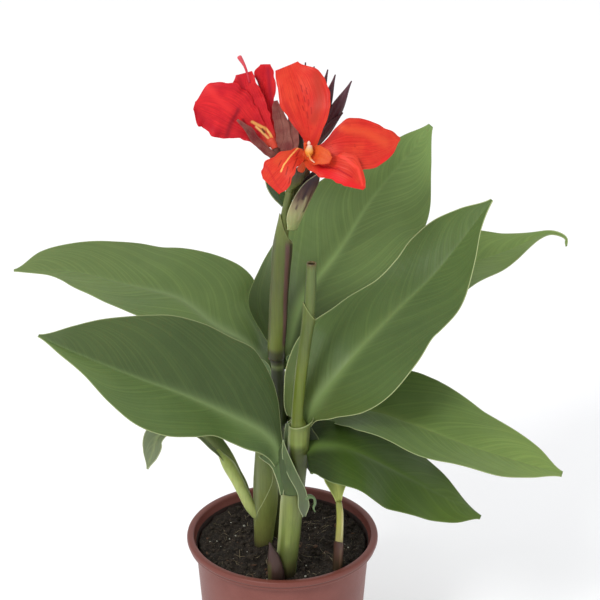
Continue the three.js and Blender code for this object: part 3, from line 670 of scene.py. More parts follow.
# line and radii run from foot to top. bands: height and colour, mixed between the heights.
# stripes: bearing at the low and at the high end, in degrees from +x towards +y, half-width in degrees,
# lowest and highest z, colour.
stems = {
    "stemFront": {
        "node": "stem_front",
        "line": [(2.4, -52, 120), (3.6, -53, 146), (6.4, -56, 180), (9.3, -60, 222), (13.9, -61, 266),
                 (14.8, -61, 284), (13.6, -61, 295), (15.2, -61, 322), (18.8, -61, 358), (22, -61, 384)],
        "radii": [8.4, 9, 9.5, 9.8, 8.8, 8.2, 5.4, 5, 5.1, 4.5],
        # painted shade: the dark bands at 254 and 266 lie under the front leaf; the low brown bands darken
        # the foot, partly its own colour and partly painted shade at the soil.
        "bands": [(128, (42, 32, 22)), (142, (40, 36, 22)), (150, (66, 66, 34)), (160, (78, 86, 42)),
                  (190, (96, 110, 46)), (206, (104, 114, 58)), (226, (108, 118, 66)), (240, (92, 104, 54)),
                  (254, (60, 68, 32)), (266, (58, 66, 26)), (276, (112, 126, 62)), (288, (104, 116, 58)),
                  (296, (92, 104, 36)), (322, (92, 106, 36)), (340, (98, 110, 44)), (352, (92, 104, 50)),
                  (384, (86, 98, 52))],
        # painted shade on the stripes facing +x, painted light on the one at bearing 190
        "stripes": [(8, 8, 46, 128, 250, (74, 84, 42)), (190, 190, 36, 150, 250, (140, 148, 94)),
                    (0, 0, 44, 292, 350, (62, 76, 30)), (0, 0, 44, 350, 384, (78, 90, 46)),
                    (-100, -100, 20, 170, 222, (110, 122, 60))],
        "slot": "stem_green",
    },
    "stemFlowering": {
        "node": "stem_flowering",
        "line": [(-7, 12, 112), (-6.4, 10, 160), (-3.8, 6, 220), (-2.8, 1, 270), (-3.4, 0, 314),
                 (-3.8, 0, 324), (-3.8, -1, 334), (-1.4, -3, 380), (0.9, -5, 428), (3.8, -6, 456),
                 (7, -8, 476)],
        "radii": [7.4, 7.4, 7.8, 7.2, 5.8, 7, 5.4, 5.3, 4.8, 3.8, 3.4],
        # painted shade: the dark bands from 280 to 311 and round 321 are shade inside the sheaths and under
        # the ring
        "bands": [(120, (58, 50, 30)), (160, (66, 70, 36)), (240, (60, 72, 34)), (280, (48, 56, 26)),
                  (300, (40, 46, 20)), (311, (44, 52, 22)), (315, (96, 108, 60)), (317, (60, 66, 32)),
                  (321, (40, 40, 22)), (325, (62, 64, 32)), (330, (60, 62, 34)), (334, (92, 104, 44)),
                  (420, (92, 102, 48)), (444, (92, 100, 48)), (462, (86, 96, 48)), (476, (100, 108, 58))],
        # painted shade on the stripes at bearings 10 and -30, painted light on the one at 185
        "stripes": [(10, 10, 50, 300, 332, (44, 48, 24)), (185, 185, 36, 440, 476, (110, 120, 70)),
                    (-30, -30, 30, 444, 476, (78, 86, 38))],
        "slot": "stem_green",
    },
    "stemLeft": {
        "node": "stem_left",
        "line": [(-17, -5, 118), (-16.6, -6, 146), (-14.4, -10, 186), (-14, -12, 220), (-15, -9, 256),
                 (-13, -3, 298)],
        "radii": [7.8, 8.4, 10.6, 10.4, 6, 1],
        "bands": [(128, (50, 42, 28)), (140, (58, 54, 32)), (150, (104, 106, 56)), (166, (110, 117, 59)),
                  (186, (104, 114, 56)), (206, (110, 121, 63)), (226, (112, 125, 69)), (298, (60, 72, 34))],
        # painted light: the stripe at bearing 200 lightens the side towards the lamp
        "stripes": [(200, 200, 46, 170, 236, (112, 120, 80)), (0, 0, 46, 140, 240, (114, 124, 62))],
        "slot": "stem_green",
    },
    "shootRight": {
        "node": "shoot_right",
        "line": [(48, -46, 124), (48.4, -47, 153), (49.8, -48, 191), (48.8, -47, 207)],
        "radii": [4.1, 3.9, 3.2, 2.6],
        "bands": [(124, (60, 46, 30)), (146, (66, 54, 36)), (160, (78, 54, 44)), (168, (84, 60, 50)),
                  (169.5, (150, 142, 88)), (190, (158, 158, 76)), (207, (132, 138, 70))],
        "stripes": [(180, 180, 40, 128, 204, (70, 66, 38)), (-50, -50, 24, 170, 204, (178, 172, 112)),
                    (0, 0, 30, 128, 206, (96, 84, 62))],
        "slot": "shoot_brown_green",
    },
    "basalBud": {
        "node": "basal_bud",
        "line": [(-5, -63, 126), (-5, -65, 146), (-7, -66, 164), (-10.2, -66.4, 178.6)],
        "radii": [6.6, 7.2, 5.2, 0.8],
        "bands": [(126, (40, 28, 24)), (146, (52, 38, 32)), (160, (66, 46, 40)), (178, (56, 38, 36))],
        "stripes": [(-158, -140, 36, 128, 164, (74, 70, 42)), (0, 0, 34, 126, 176, (44, 26, 28))],
        "slot": "bud_purple",
    },
    "smallLeafStalk": {
        "line": [(-22.8, -11, 174), (-28, -12.2, 183), (-33, -11.4, 194), (-40, -9.4, 209), (-47, -6, 221),
                 (-56, 1, 231)],
        "radii": [4.4, 4.9, 5, 5.2, 5.4, 1.8], "across": (0, -1, 0),
        # painted light: the bands and both stripes are pale to stand in for light on a stalk that lies in the
        # leaf's shade
        "bands": [(160, (150, 160, 96)), (200, (172, 184, 112)), (232, (144, 158, 80))],
        "stripes": [(190, 190, 40, 160, 228, (186, 196, 136)), (-10, -10, 44, 160, 230, (158, 170, 100))],
        "slot": "leaf_green",
    },
}


def stalkRings(stalk, sides, spacing, dome=0.55):
    # centre + r (side cos a + back sin a) along the line; each end closes with a low dome.
    reach = np.linalg.norm(np.diff(np.asarray(stalk["line"], float), axis=0), axis=1).sum()
    t = np.linspace(0, 1, max(6, int(reach / spacing)) + 1)
    centre, ahead, _ = followLine(stalk["line"], t, byLength=False)
    radius = eased(stalk["radii"], t)
    turn = np.radians([8, 30, 55])
    low = centre[:1] - ahead[:1] * radius[0] * dome * np.cos(turn)[:, None]
    high = centre[-1:] + ahead[-1:] * radius[-1] * dome * np.cos(turn[::-1])[:, None]
    centre = np.concatenate([low, centre, high])
    ahead = np.concatenate([np.repeat(ahead[:1], 3, axis=0), ahead, np.repeat(ahead[-1:], 3, axis=0)])
    radius = np.concatenate([radius[0] * np.sin(turn), radius, radius[-1] * np.sin(turn[::-1])])
    t = np.concatenate([np.zeros(3), t, np.ones(3)])
    across = np.array(stalk.get("across", (1.0, 0, 0)))
    side = unit(across - ahead * (ahead @ across)[:, None])
    back = np.cross(ahead, side)
    angle = np.linspace(0, 2 * np.pi, sides, endpoint=False)
    out = side[:, None] * np.cos(angle)[None, :, None] + back[:, None] * np.sin(angle)[None, :, None]
    return {"centre": centre, "out": out, "radius": radius, "t": t,
            "points": centre[:, None] + out * radius[:, None, None]}


def paintStalk(look, points, out):
    # colours mixed by height between the bands, then each stripe laid on the side it looks to
    heights = [z for z, _ in look["bands"]]
    shades = np.array([display(*color) for _, color in look["bands"]])
    paint = np.stack([np.interp(points[..., 2], heights, shades[:, k]) for k in range(3)], axis=-1)
    for first, last, width, low, high, color in look.get("stripes", ()):
        bearing = np.radians(np.interp(points[..., 2], (low, high), (first, last)))
        facing = out[..., 0] * np.cos(bearing) + out[..., 1] * np.sin(bearing)
        share = smoothStep(math.cos(math.radians(width)), math.cos(math.radians(width * 0.4)), facing)
        share = share * smoothStep(low, low + 8, points[..., 2])
        share = share * (1 - smoothStep(high - 8, high, points[..., 2]))
        paint = toned(paint, share, color)
    color, share = markPaint(points, look.get("marks", []))
    share = share * smoothStep(0.1, -0.3, out[..., 1])
    return paint + share[..., None] * (color - paint)


def stalkShell(stalk, sides=40, spacing=2.5):
    # a round stalk in its painted colours
    rings = stalkRings(stalk, sides, spacing)
    return tubeShell(rings["points"], {"paint": paintStalk(stalk, rings["points"], rings["out"])})


stemSurface = {
    "roughness": 0.42, "specular": 0.3, "glow": 0.08, "lineSpacing": 1.1, "line": 0.35,
    "lineTint": (0.62, 0.62, 0.62), "driftSize": 14.0, "drift": 0.35, "driftTint": (1.25, 1.2, 1.1),
    "bump": (0.15, 0.4),
}


def stemSkin(name, surface=stemSurface):
    # Smooth stem: its painted colours under hair-fine upright lines and slow tone changes.
    rough = surface["roughness"]
    material, tree, shader = startMaterial(name, {
        "Roughness": rough, "Specular IOR Level": surface["specular"],
        "Subsurface Weight": surface["glow"], "Subsurface Scale": 0.002})
    place = here(tree)
    striae = useGroup(tree, striaGroup, {"Vector": place, "Spacing": surface["lineSpacing"]})
    drift = toneDrift(tree, place, surface["driftSize"])
    paint = attribute(tree, "paint")
    lit = tinted(tree, times(tree, striae["Value"], surface["line"]), paint, surface["lineTint"])
    lit = tinted(tree, times(tree, drift, surface["drift"]), lit, surface["driftTint"])
    dull = spread(tree, drift, 0.0, 1.0, rough - 0.06, rough + 0.1)
    finish(tree, shader, lit, dull, striae["Height"], *surface["bump"])
    return material


stemGreen = stemSkin("stemGreen")
for name, stem in stems.items():
    makePiece(name, [stalkShell(stem)], stemGreen, [stem["node"]] if "node" in stem else [])

rolledLeaf = {
    "line": [(22.1, -61, 385.2), (23.4, -61, 396), (24.2, -61, 414), (24.8, -61, 436)],
    # painted shade: inside is the dark colour down in the roll's hollow
    "radii": [4.4, 4.8, 4.7, 3.9], "wall": 0.9, "depth": 7, "inside": (44, 38, 22),
    "bands": [(385, (88, 100, 52)), (432, (92, 106, 58)), (435.4, (96, 84, 48)), (437, (70, 48, 30))],
    "stripes": [(0, 0, 46, 385, 434, (76, 90, 54)), (180, 180, 40, 385, 434, (70, 82, 50))],
}


def rolledLeafShell(roll):
    # The stalk's rings, then over a thin lip and down inside to a closed bottom.
    rings = stalkRings(roll, 40, 2)
    count = len(rings["t"]) - 3
    points, out = rings["points"][:count], rings["out"][:count]
    top, radius, centre = out[-1], rings["radius"][count - 1], rings["centre"][count - 1]
    drop = np.array([0, 0.5, 2, roll["depth"], roll["depth"]])
    shrink = np.array([0.3, 1, 1, 1, 2.4]) * roll["wall"]
    inner = centre + top[None] * (radius - shrink)[:, None, None]
    inner = inner - np.array([0, 0, 1.0]) * drop[:, None, None]
    points = np.concatenate([points, inner])
    paint = paintStalk(roll, points, np.concatenate([out, np.repeat(top[None], 5, axis=0)]))
    # painted shade down inside the roll
    paint[-3:] = display(*roll["inside"])
    return tubeShell(points, {"paint": paint})


makePiece("rolledLeaf", [rolledLeafShell(rolledLeaf)], stemGreen, ["rolled_leaf"])

# Leaf bases wrapped round the stems. mouth: lowest and highest z of the rim. tip: bearing of its highest
# place. sharp: how pointed that is. flare: how far the rim leans out, and the bearing where it does.
sheaths = {
    "peduncleSheath": {
        "line": [(-4.4, -1, 322), (-4.3, -1, 335), (-3.3, -2, 352), (-2.2, -3, 378), (-0.4, -4, 405),
                 (1.0, -4.4, 425), (2.0, -5, 440), (3.2, -6, 457)],
        "radii": [7.2, 7.6, 7.8, 7.9, 8.1, 8.5, 6.8, 4.6], "mouth": (430, 457), "tip": 196, "sharp": 1.3,
        "flare": (0, 0), "wall": 0.6,
        # painted shade: the dark bands at 322 and 329 are shade at the sheath's foot
        "bands": [(322, (52, 54, 28)), (329, (58, 60, 30)), (334, (96, 106, 42)), (360, (90, 100, 44)),
                  (394, (82, 89, 46)), (428, (88, 98, 48)), (445, (98, 108, 56)), (457, (120, 126, 78))],
        "stripes": [(-8, -30, 26, 330, 436, (58, 50, 36)), (-34, -62, 20, 331, 436, (92, 66, 60)),
                    (196, 196, 34, 336, 440, (88, 92, 62))],
        "rim": (128, 134, 84), "slot": "bract_green",
    },
    "frontLeafSheath": {
        "line": [(13.4, -61, 260), (14.4, -61, 276), (15.2, -61, 288), (16.2, -61, 299)],
        "radii": [8.6, 9.0, 9.1, 9.4], "mouth": (289.6, 295), "tip": 0, "sharp": 1.6, "flare": (1.8, 10),
        "wall": 0.5,
        # painted shade: the dark bands from 258 to 270 stand for the shadow of the flap and the front leaf
        "bands": [(258, (62, 70, 30)), (266, (58, 66, 26)), (270, (70, 80, 34)), (275, (112, 126, 62)),
                  (286, (108, 120, 62)), (292, (92, 104, 54)), (298, (92, 104, 54))],
        # painted light on the stripe at bearing 190, painted shade on the one at -20
        "stripes": [(190, 190, 30, 268, 292, (130, 140, 92)), (-20, -20, 34, 262, 296, (86, 96, 50))],
        "rim": (146, 156, 108), "slot": "stem_green",
    },
    "upperSheath": {
        "line": [(18.0, -61, 349), (20.0, -61, 366), (22.3, -61, 384), (23.4, -61, 404)],
        "radii": [5.0, 5.1, 5.4, 5.3], "mouth": (386, 402), "tip": 186, "sharp": 1.0, "flare": (0.8, -20),
        "wall": 0.4, "bands": [(350, (90, 102, 48)), (376, (86, 98, 50)), (402, (92, 104, 54))],
        # painted shade: the stripe at bearing 0 darkens the side away from the lamp
        "stripes": [(0, 0, 40, 350, 396, (80, 92, 46))], "rim": (140, 152, 96), "slot": "stem_green",
    },
    "shootSheath": {
        "line": [(48, -46, 126), (48.4, -47, 153), (49.0, -47.4, 171)], "radii": [4.5, 4.5, 4.1],
        "mouth": (165, 170.5), "tip": 250, "sharp": 1.0, "flare": (0, 0), "wall": 0.4,
        "bands": [(126, (56, 46, 30)), (146, (64, 52, 36)), (158, (78, 54, 44)), (170, (76, 50, 42))],
        "stripes": [(180, 180, 44, 128, 168, (52, 40, 30)), (-60, -60, 20, 140, 168, (96, 74, 58))],
        "rim": (62, 42, 34), "slot": "shoot_brown_green",
    },
}


def sheathShell(sheath, sides=72, rows=56):
    # Rings from the foot up to the mouth, over its lip and down inside. The mouth stands at
    # low + (high - low) ((1 + cos(bearing - tip)) / 2)^sharp.
    angle = np.linspace(0, 2 * np.pi, sides, endpoint=False)
    low, high = sheath["mouth"]
    foot = sheath["line"][0][2]
    mouth = low + (high - low) * ((1 + np.cos(angle - math.radians(sheath["tip"]))) / 2) ** sheath["sharp"]
    share = np.concatenate([np.linspace(0, 1, rows), np.linspace(1, 0, rows // 2)])[:, None]
    height = foot + share * (mouth - foot)
    fine = np.linspace(0, 1, 400)
    line, size = lineAt(sheath["line"], fine), eased(sheath["radii"], fine)
    x, y, radius = (np.interp(height, line[:, 2], values) for values in (line[:, 0], line[:, 1], size))
    lean, towards = sheath["flare"]
    leaning = ((1 + np.cos(angle - math.radians(towards))) / 2) ** 2
    radius = radius + lean * smoothStep(0.75, 1, share) * leaning
    inside = np.arange(len(share))[:, None] >= rows
    radius = radius - sheath["wall"] * inside
    out = np.stack([np.cos(angle), np.sin(angle), np.zeros_like(angle)], axis=-1)
    out = out * np.ones_like(height)[..., None]
    points = np.stack([x, y, height], axis=-1) + out * radius[..., None]
    paint = paintStalk(sheath, points, out)
    paint = toned(paint, 0.8 * smoothStep(1.3, 0.4, mouth - height), sheath["rim"])
    return tubeShell(points, {"paint": paint})


for name, sheath in sheaths.items():
    stands = ["peduncle_bract"] if name == "peduncleSheath" else []
    makePiece(name, [sheathShell(sheath)], stemGreen, stands)

# Pale edges of outer leaf bases lying on the stems: the stem, the edge's radius and colour, then bearing
# and height of each place.
welts = [
    ("stemLeft", 0.42, (150, 160, 108),
     [(-52, 222), (-60, 212), (-84, 200), (-106, 190), (-134, 178), (-156, 160)]),
    ("stemLeft", 0.4, (134, 142, 104), [(-160, 238), (-168, 212), (-172, 184), (-170, 156)]),
    ("shootRight", 0.4, (196, 190, 138), [(-66, 172), (-44, 186), (-22, 198), (-4, 206)]),
]


def weltShell(stem, radius, color, places):
    # a thin round cord along places on a stem's surface
    fine = np.linspace(0, 1, 400)
    line, size = lineAt(stem["line"], fine), eased(stem["radii"], fine)
    bearing, height = np.radians([p[0] for p in places]), np.array([p[1] for p in places])
    x, y, reach = (np.interp(height, line[:, 2], values) for values in (line[:, 0], line[:, 1], size))
    points = np.stack([x + reach * np.cos(bearing), y + reach * np.sin(bearing), height], axis=-1)
    thickness = [0.3 * radius] + [radius] * (len(places) - 2) + [0.3 * radius]
    return stalkShell({"line": points, "radii": thickness, "bands": [(0, color)]}, 8, 1.5)


edges = [weltShell(stems[name], *rest) for name, *rest in welts]
makePiece("sheathEdges", edges, stemGreen)
print("stems made")


# ---- bracts and the torn flap at the front leaf's foot

bracts = {
    "claspingBract": {
        "node": "clasping_bract",
        "rib": [(9.6, -11.6, 443.6), (14, -14.4, 456), (20, -16.6, 471), (26, -16, 485), (31.6, -14, 496)],
        "faces": [(-0.5, 0.8, 0.2)], "left": [5, 9.4, 10.6, 10, 7.4, 1], "fold": [0], "hug": (9.4, 0.6),
        "bands": [(440, (126, 136, 84)), (448, (138, 146, 94)), (460, (146, 146, 100)),
                  (468, (140, 128, 96)), (476, (96, 72, 58)), (486, (58, 34, 36)), (497, (48, 28, 34))],
        "marks": [
            (2.6, 1, (46, 26, 32), [(30.2, 496.1), (22.9, 485.7), (18, 474.4)]),
            (1.2, 1, (64, 36, 38), [(25.4, 480.5), (21.3, 469.1), (18.1, 461.2)]),
            (1, 1, (70, 48, 44), [(15.6, 480.5), (14, 471.8), (12.3, 464.7)]),
            (1.4, 1, (158, 152, 116), [(20.5, 475.3), (17.2, 464.7), (14, 454.2)]),
        ],
        "slot": "bract_pale",
    },
    "greenBract": {
        "node": "green_bract", "rib": [(2, -3, 462), (-4, 1, 472), (-10, 3, 481), (-14, 2, 490)],
        "faces": [(0.7, -0.5, 0.5), (0.7, -0.6, 0.3)], "left": [3, 8, 9, 6, 1], "fold": [10, 20],
        "bands": [(462, (66, 88, 40)), (490, (52, 76, 36))], "slot": "bract_green",
    },
}

# Round the front leaf's foot: its sheath's margin, the shaded lobe behind it, the pale lobe at the left,
# the fold round the stem and the long hanging strip.
flapBlades = [
    {"rib": [(5.2, -58, 289), (5.2, -58, 276), (4.8, -58, 258)], "faces": [(0, -1, 0.1)],
     "left": [1.6, 3, 3, 2], "fold": [8], "bands": [(256, (62, 76, 44)), (290, (88, 102, 68))],
     "margin": (140, 152, 108)},
    {"rib": [(21.5, -54, 282.7), (24.8, -54, 261.8), (25.7, -55, 239.3)], "faces": [(0, -1, 0.1)],
     "left": [4, 8, 9, 7, 1], "fold": [6], "bands": [(240, (36, 48, 20)), (290, (32, 44, 16))],
     "margin": (96, 110, 62)},
    {"rib": [(-6.8, -70.6, 268.9), (-1.9, -71, 254.9), (-0.7, -70.6, 242.3), (-0.4, -69.6, 227.3)],
     "faces": [(0, -1, 0.1)], "left": [11, 8, 6, 4, 2], "right": [13, 7.4, 5, 2.4, 0.8], "fold": [-6, -10],
     "bands": [(226, (66, 84, 44)), (250, (66, 86, 44)), (272, (78, 100, 52))]},
    {"rib": [(2.4, -70, 280), (-0.6, -71.4, 267), (1, -72.4, 253), (4.7, -72.6, 239), (7.2, -72, 228)],
     "faces": [(0.5, 0.9, 0), (0.4, 0.9, 0)], "left": [1, 3, 5, 7, 7.4], "fold": [0], "hug": (13, 0.9),
     "wave": (0.5, 2, 0.2), "bands": [(228, (62, 78, 36)), (250, (52, 68, 32)), (281, (62, 78, 42))],
     "margin": (96, 112, 68)},
    {"rib": [(1.5, -71, 280.5), (2.8, -73, 270.3), (5.5, -74, 260.4), (8.9, -75, 251.9), (12.8, -75, 243.2),
             (16.9, -74, 233), (18.6, -73.4, 219.8), (19, -72.4, 207.9)],
     "faces": [(0.2, 0.9, 0), (0.1, 0.9, 0), (-0.4, 0.9, 0)], "left": [0.5, 2.5, 4, 4.4, 3.8, 4, 4.8, 1.6],
     "fold": [10, -10], "wave": (0.6, 2, 0.6),
     "bands": [(208, (82, 92, 68)), (232, (84, 96, 64)), (256, (64, 80, 44)), (281, (80, 96, 56))],
     "margin": (160, 172, 128)},
]


def bractShell(blade, rows=40, columns=24, thickness=0.6):
    # A thin blade painted by height, its margin a pale line.
    grid = bladeGrid(blade, rows, columns)
    thin = np.full(grid["t"].shape, thickness / 2)
    paint = paintStalk(blade, grid["points"], grid["points"])
    edge = 0.6 * smoothStep(0.9, 0.2, grid["half"] - np.abs(grid["distance"]))
    paint = toned(paint, edge, blade.get("margin", (190, 196, 150)))
    return plateShell(grid["points"], thin, thin, {"paint": (paint, paint)})


for name, bract in bracts.items():
    makePiece(name, [bractShell(bract)], stemGreen, [bract["node"]])

# the curled thread at the end of the fold
tendril = {
    "line": [(20.5, -72, 226), (24, -71.4, 227), (27.4, -71, 225), (28.2, -71, 220), (27, -71.4, 216),
             (28.4, -71.6, 212)],
    "radii": [2.4, 1.9, 1.2, 1.2, 0.9, 0.4], "across": (0, -1, 0), "bands": [(0, (92, 112, 74))],
}

# The small dark bracts under and behind the blooms.
bloomBracts = [
    {"rib": [(13, 3, 452.5), (14.8, 3, 467.5), (18.2, 3, 482.5), (22.4, 3, 495.5)], "faces": [(0, -1, 0.1)],
     "left": [3, 5, 5.6, 5, 2], "fold": [14, 8],
     "bands": [(450, (78, 90, 42)), (470, (76, 84, 44)), (484, (84, 74, 44)), (497, (112, 58, 46))],
     "margin": (96, 92, 60)},
    {"rib": [(14, -3, 462), (17.4, -3, 471.5), (22.5, -3.4, 481), (29, -3.8, 492)],
     "faces": [(0.1, -1, 0.1)], "left": [2, 3.6, 5.4, 5.6, 3], "right": [2, 3.2, 3.8, 3, 0.8],
     "fold": [16, 10], "bands": [(460, (52, 56, 30)), (474, (50, 42, 32)), (492, (52, 32, 36))],
     "margin": (78, 66, 56)},
    {"rib": [(16.5, 8, 498), (16.5, 8, 509.5), (14.8, 8, 521), (12, 8, 533)], "faces": [(0, -1, 0.1)],
     "left": [2, 4, 4.6, 3.4, 0.8], "fold": [12, 8],
     "bands": [(497, (88, 44, 44)), (510, (66, 62, 46)), (522, (60, 44, 46)), (533, (70, 34, 42))],
     "margin": (92, 70, 62)},
]

makePiece("bloomBracts", [bractShell(blade) for blade in bloomBracts], stemGreen)
flap = [bractShell(blade) for blade in flapBlades] + [stalkShell(tendril, 12, 0.8)]
makePiece("leafFlap", flap, stemGreen)
print("bracts made")


# ---- blooms

# ruffle: height of the fine waves in a petal's margin. frill: how far they swing in its own plane.
# marks: width, softness and colour of lines laid on it, then their places in x and z.
frontPetals = [
    {"rib": [(21, -29, 517), (23, -29, 530), (21, -25, 546), (18, -20, 560), (14, -15, 572), (8, -9, 585)],
     "faces": [(0, -0.95, 0.3), (0, -0.92, 0.4)], "left": [3, 3, 5, 8, 11, 14, 17, 19, 19, 18, 17, 15, 13],
     "right": [4, 6, 8, 11, 15, 18, 21, 22, 22, 21, 19, 12, 6], "fold": [16, 8], "ruffle": 1.2,
     "frill": 0.6,
     "marks": [
         # painted shade: along the foot's left side, along the right margin and in a broad stroke right of
         # the middle
         (3.4, 1, (178, 34, 26), [(4.5, 557.4), (11.6, 542.3), (18, 528.8)]),
         (3, 1, (186, 36, 28), [(38.6, 566.6), (36.3, 553.2), (30.8, 539.8), (24.4, 526.3)]),
         (7, 1, (170, 42, 26), [(29, 578.1), (31.5, 561.6), (26.8, 544.8)]),
         *flecks((150, 16, 10), [(16.4, 569.9), (17.6, 565.7)], [(20.4, 568.2), (21.1, 564.1)],
                 [(18.8, 562.4), (19.6, 558.2)], [(22.3, 559.9), (22.7, 555.7)],
                 [(24.3, 554.1), (24.7, 549.9)], [(17.6, 554.9), (18.8, 551.5)],
                 [(13.2, 563.2), (14.8, 559.1)], [(21.2, 550.7), (22, 545.7)]),
     ]},
    {"rib": [(22, -31, 518), (42, -33, 527), (70, -30, 528), (96, -22, 527)],
     "faces": [(0, -0.9, 0.4), (0.1, -0.9, 0.4)], "left": [3, 3, 3, 6, 12, 18, 19, 18, 16, 13, 10, 7, 2],
     "right": [4, 11, 17, 21, 22, 24, 24, 23, 22, 19, 15, 10, 1], "fold": [14, 6], "ruffle": 1.4,
     "frill": 0.6,
     "marks": [
         # painted shade at the foot in the first mark, a painted sheen in the second
         (4, 1, (168, 30, 24), [(33.1, 525.9), (42.7, 534.3), (52.1, 541.9)]),
         (6, 1, (202, 64, 34), [(49, 539.4), (67.3, 535.2), (83.4, 525.9)]),
         (4, 1, (206, 32, 28), [(51.6, 511.5), (71.7, 505.5), (90.7, 518.3)]),
         (1.2, 1, (180, 48, 30), [(51.3, 546.1), (68, 546.1), (88, 535.2), (94.6, 526.7)]),
     ]},
    {"rib": [(21, -31, 515), (40, -46, 512.5), (55.5, -55, 509), (66, -58, 498)],
     "faces": [(0, -0.8, 0.6), (0.3, -0.9, 0.3)], "left": [2, 2, 4, 6, 8, 11, 14, 15, 16, 12, 9, 6, 2],
     "right": [5, 8, 10, 10, 11, 10, 10, 10, 10, 10, 8, 5, 1], "fold": [10, -10], "ruffle": 1.2,
     "frill": 0.8,
     "marks": [
         (7, 1, (206, 22, 26), [(33, 509.5), (47.3, 504.5), (61.6, 497.7)]),
         # painted highlight along the fold's crest in this mark, painted shade below it in the next
         (1.8, 1, (224, 62, 48),
          [(26.6, 519.6), (39.3, 522.2), (51.1, 519.6), (61.4, 512.9), (64.8, 501.1)]),
         (1.2, 1, (160, 14, 18), [(21.9, 514.6), (33, 511.2), (45.6, 512.1), (56.8, 507)]),
     ]},
    {"rib": [(20, -31, 516), (9, -42, 515), (-1, -48, 509), (-10, -53, 501)],
     "faces": [(0, -0.8, 0.6), (-0.1, -0.9, 0.4)], "left": [2, 2.5, 4, 5, 6, 7, 9, 10, 12, 13, 14, 14, 13],
     "right": [6, 8, 9, 9, 10, 11, 11, 12, 13, 14, 12, 10, 5], "fold": [12, 4], "ruffle": 1.2, "frill": 1.4,
     "marks": [
         (5, 1, (196, 62, 32), [(17.2, 527.3), (7.7, 523.1), (-2.6, 516.4)]),
         (1, 1, (180, 30, 26), [(-12.1, 514.7), (-8.2, 508.8), (-3.4, 501.2), (2.1, 495.2)]),
         (0.9, 0.7, (236, 166, 88),
          [(18.8, 525.2), (13.2, 522.3), (7.7, 518.9), (2.9, 513.9), (0.5, 508.8)]),
         *flecks((150, 26, 14), [(13.2, 516.4), (10.1, 511.3)], [(6.1, 512.2), (4.5, 507.1)],
                 [(14.8, 520.6), (12.4, 518.1)], [(0.6, 516.4), (-1.8, 512.2)],
                 [(7.7, 505.4), (6.9, 501.2)]),
     ]},
]
frontStalks = [{"line": [(16.3, -19.8, 500.2), (18.5, -24, 508), (21, -30, 517)], "radii": [3.2, 3, 4.4]}]

stamenBlades = [
    {"rib": [(21.6, -36, 518), (31, -47, 522), (40, -52, 520)], "faces": [(0, -0.8, 0.6), (0.2, -0.9, 0.4)],
     "left": [3, 6, 8, 8, 7, 6, 3], "right": [3, 5, 7, 8, 7, 6, 3], "fold": [10, 0], "ruffle": 0.8},
]
stamenStalks = [{"line": [(21.2, -35, 516), (21, -38, 523), (20, -40, 530)], "radii": [2.2, 2.4, 1.6]}]

backPetals = [
    {"rib": [(-6, 0, 514), (-15, 1, 530), (-24, 3, 550), (-30, 6, 573)], "faces": [(0, -0.95, 0.3)],
     "left": [6, 7, 6, 7, 8, 10, 12, 13, 13, 13, 12, 11, 6],
     "right": [3, 5, 7, 8, 9, 10, 11, 11, 11, 10, 9, 8, 7], "fold": [10, 6], "ruffle": 1.5, "frill": 1,
     "marks": [
         # painted shade in the valleys of the ruffles, in these two marks
         (2.4, 1, (160, 8, 26), [(-34, 570), (-24.6, 549.8), (-15.1, 532.8)]),
         (3, 1, (198, 30, 34), [(-42.1, 566.6), (-35.8, 553.1), (-26.3, 539.6)]),
         (1.6, 0.7, (226, 168, 96),
          [(-22.4, 533.2), (-16.7, 530.2), (-11.9, 527.6), (-8.7, 523.4), (-6.3, 517.3)]),
         (1.2, 0.7, (226, 180, 110), [(-19.2, 529.3), (-15.2, 525.1), (-11.1, 520.8), (-7.1, 516.5)]),
         (1.1, 0.6, (96, 40, 24), [(-15.2, 527.2), (-13.2, 524.2)]),
     ]},
    {"rib": [(-8, 0, 516), (-30, -3, 530), (-52, -6, 546), (-69, -8, 552)], "faces": [(0, -0.95, 0.3)],
     "left": [10, 9, 8, 7, 9, 13, 16, 18, 19, 19, 18, 14, 3],
     "right": [5, 8, 11, 14, 18, 21, 24, 26, 26, 24, 23, 16, 2], "fold": [10, -10], "ruffle": 2.4,
     "frill": 2.2,
     "marks": [
         # a painted sheen in the first mark and painted shade in the fold in the third
         (5, 1, (202, 36, 38), [(-62, 567.6), (-51.8, 555.8), (-40.7, 545.7)]),
         (4, 1, (168, 8, 28), [(-68, 545.7), (-60.2, 535.5), (-50.6, 528.7)]),
         (3.4, 1, (140, 8, 26), [(-34.3, 545), (-40.1, 534.8), (-43.5, 524.6)]),
         (2.4, 1, (116, 12, 22), [(-30.4, 536.5), (-27.3, 528), (-24.9, 521.1)]),
         (1.7, 0.7, (222, 158, 84),
          [(-23.2, 534.4), (-16.7, 530.6), (-11.9, 528), (-8.7, 523.7), (-6.3, 517.7)]),
         (1.3, 0.7, (226, 176, 104), [(-20, 530.1), (-15.1, 525.4), (-11.1, 521.1), (-7.1, 516.8)]),
         (1.2, 0.6, (96, 40, 24), [(-15.1, 528), (-13.1, 525)]),
     ]},
    {"rib": [(-6, 2, 516), (-12, 12, 545), (-13, 17, 577)], "faces": [(0, -0.95, 0.2)],
     "left": [3, 3, 3, 3, 3, 3, 3, 3, 4, 6, 8, 8, 3], "right": [4, 4, 4, 5, 6, 7, 7, 8, 9, 9, 8, 8, 5],
     "fold": [6, 10], "ruffle": 1.5, "frill": 0.8,
     "marks": [
         (2.4, 1, (120, 4, 22), [(-20, 566.4), (-14.5, 547.7), (-8.1, 527.1)]),
         (3, 1, (160, 10, 34), [(-10.2, 573.2), (-8.7, 556.2), (-5.6, 537.5)]),
     ]},
]
backStalks = [{"line": [(-4.6, -1, 512), (-8, 1, 518)], "radii": [3.2, 4]}]
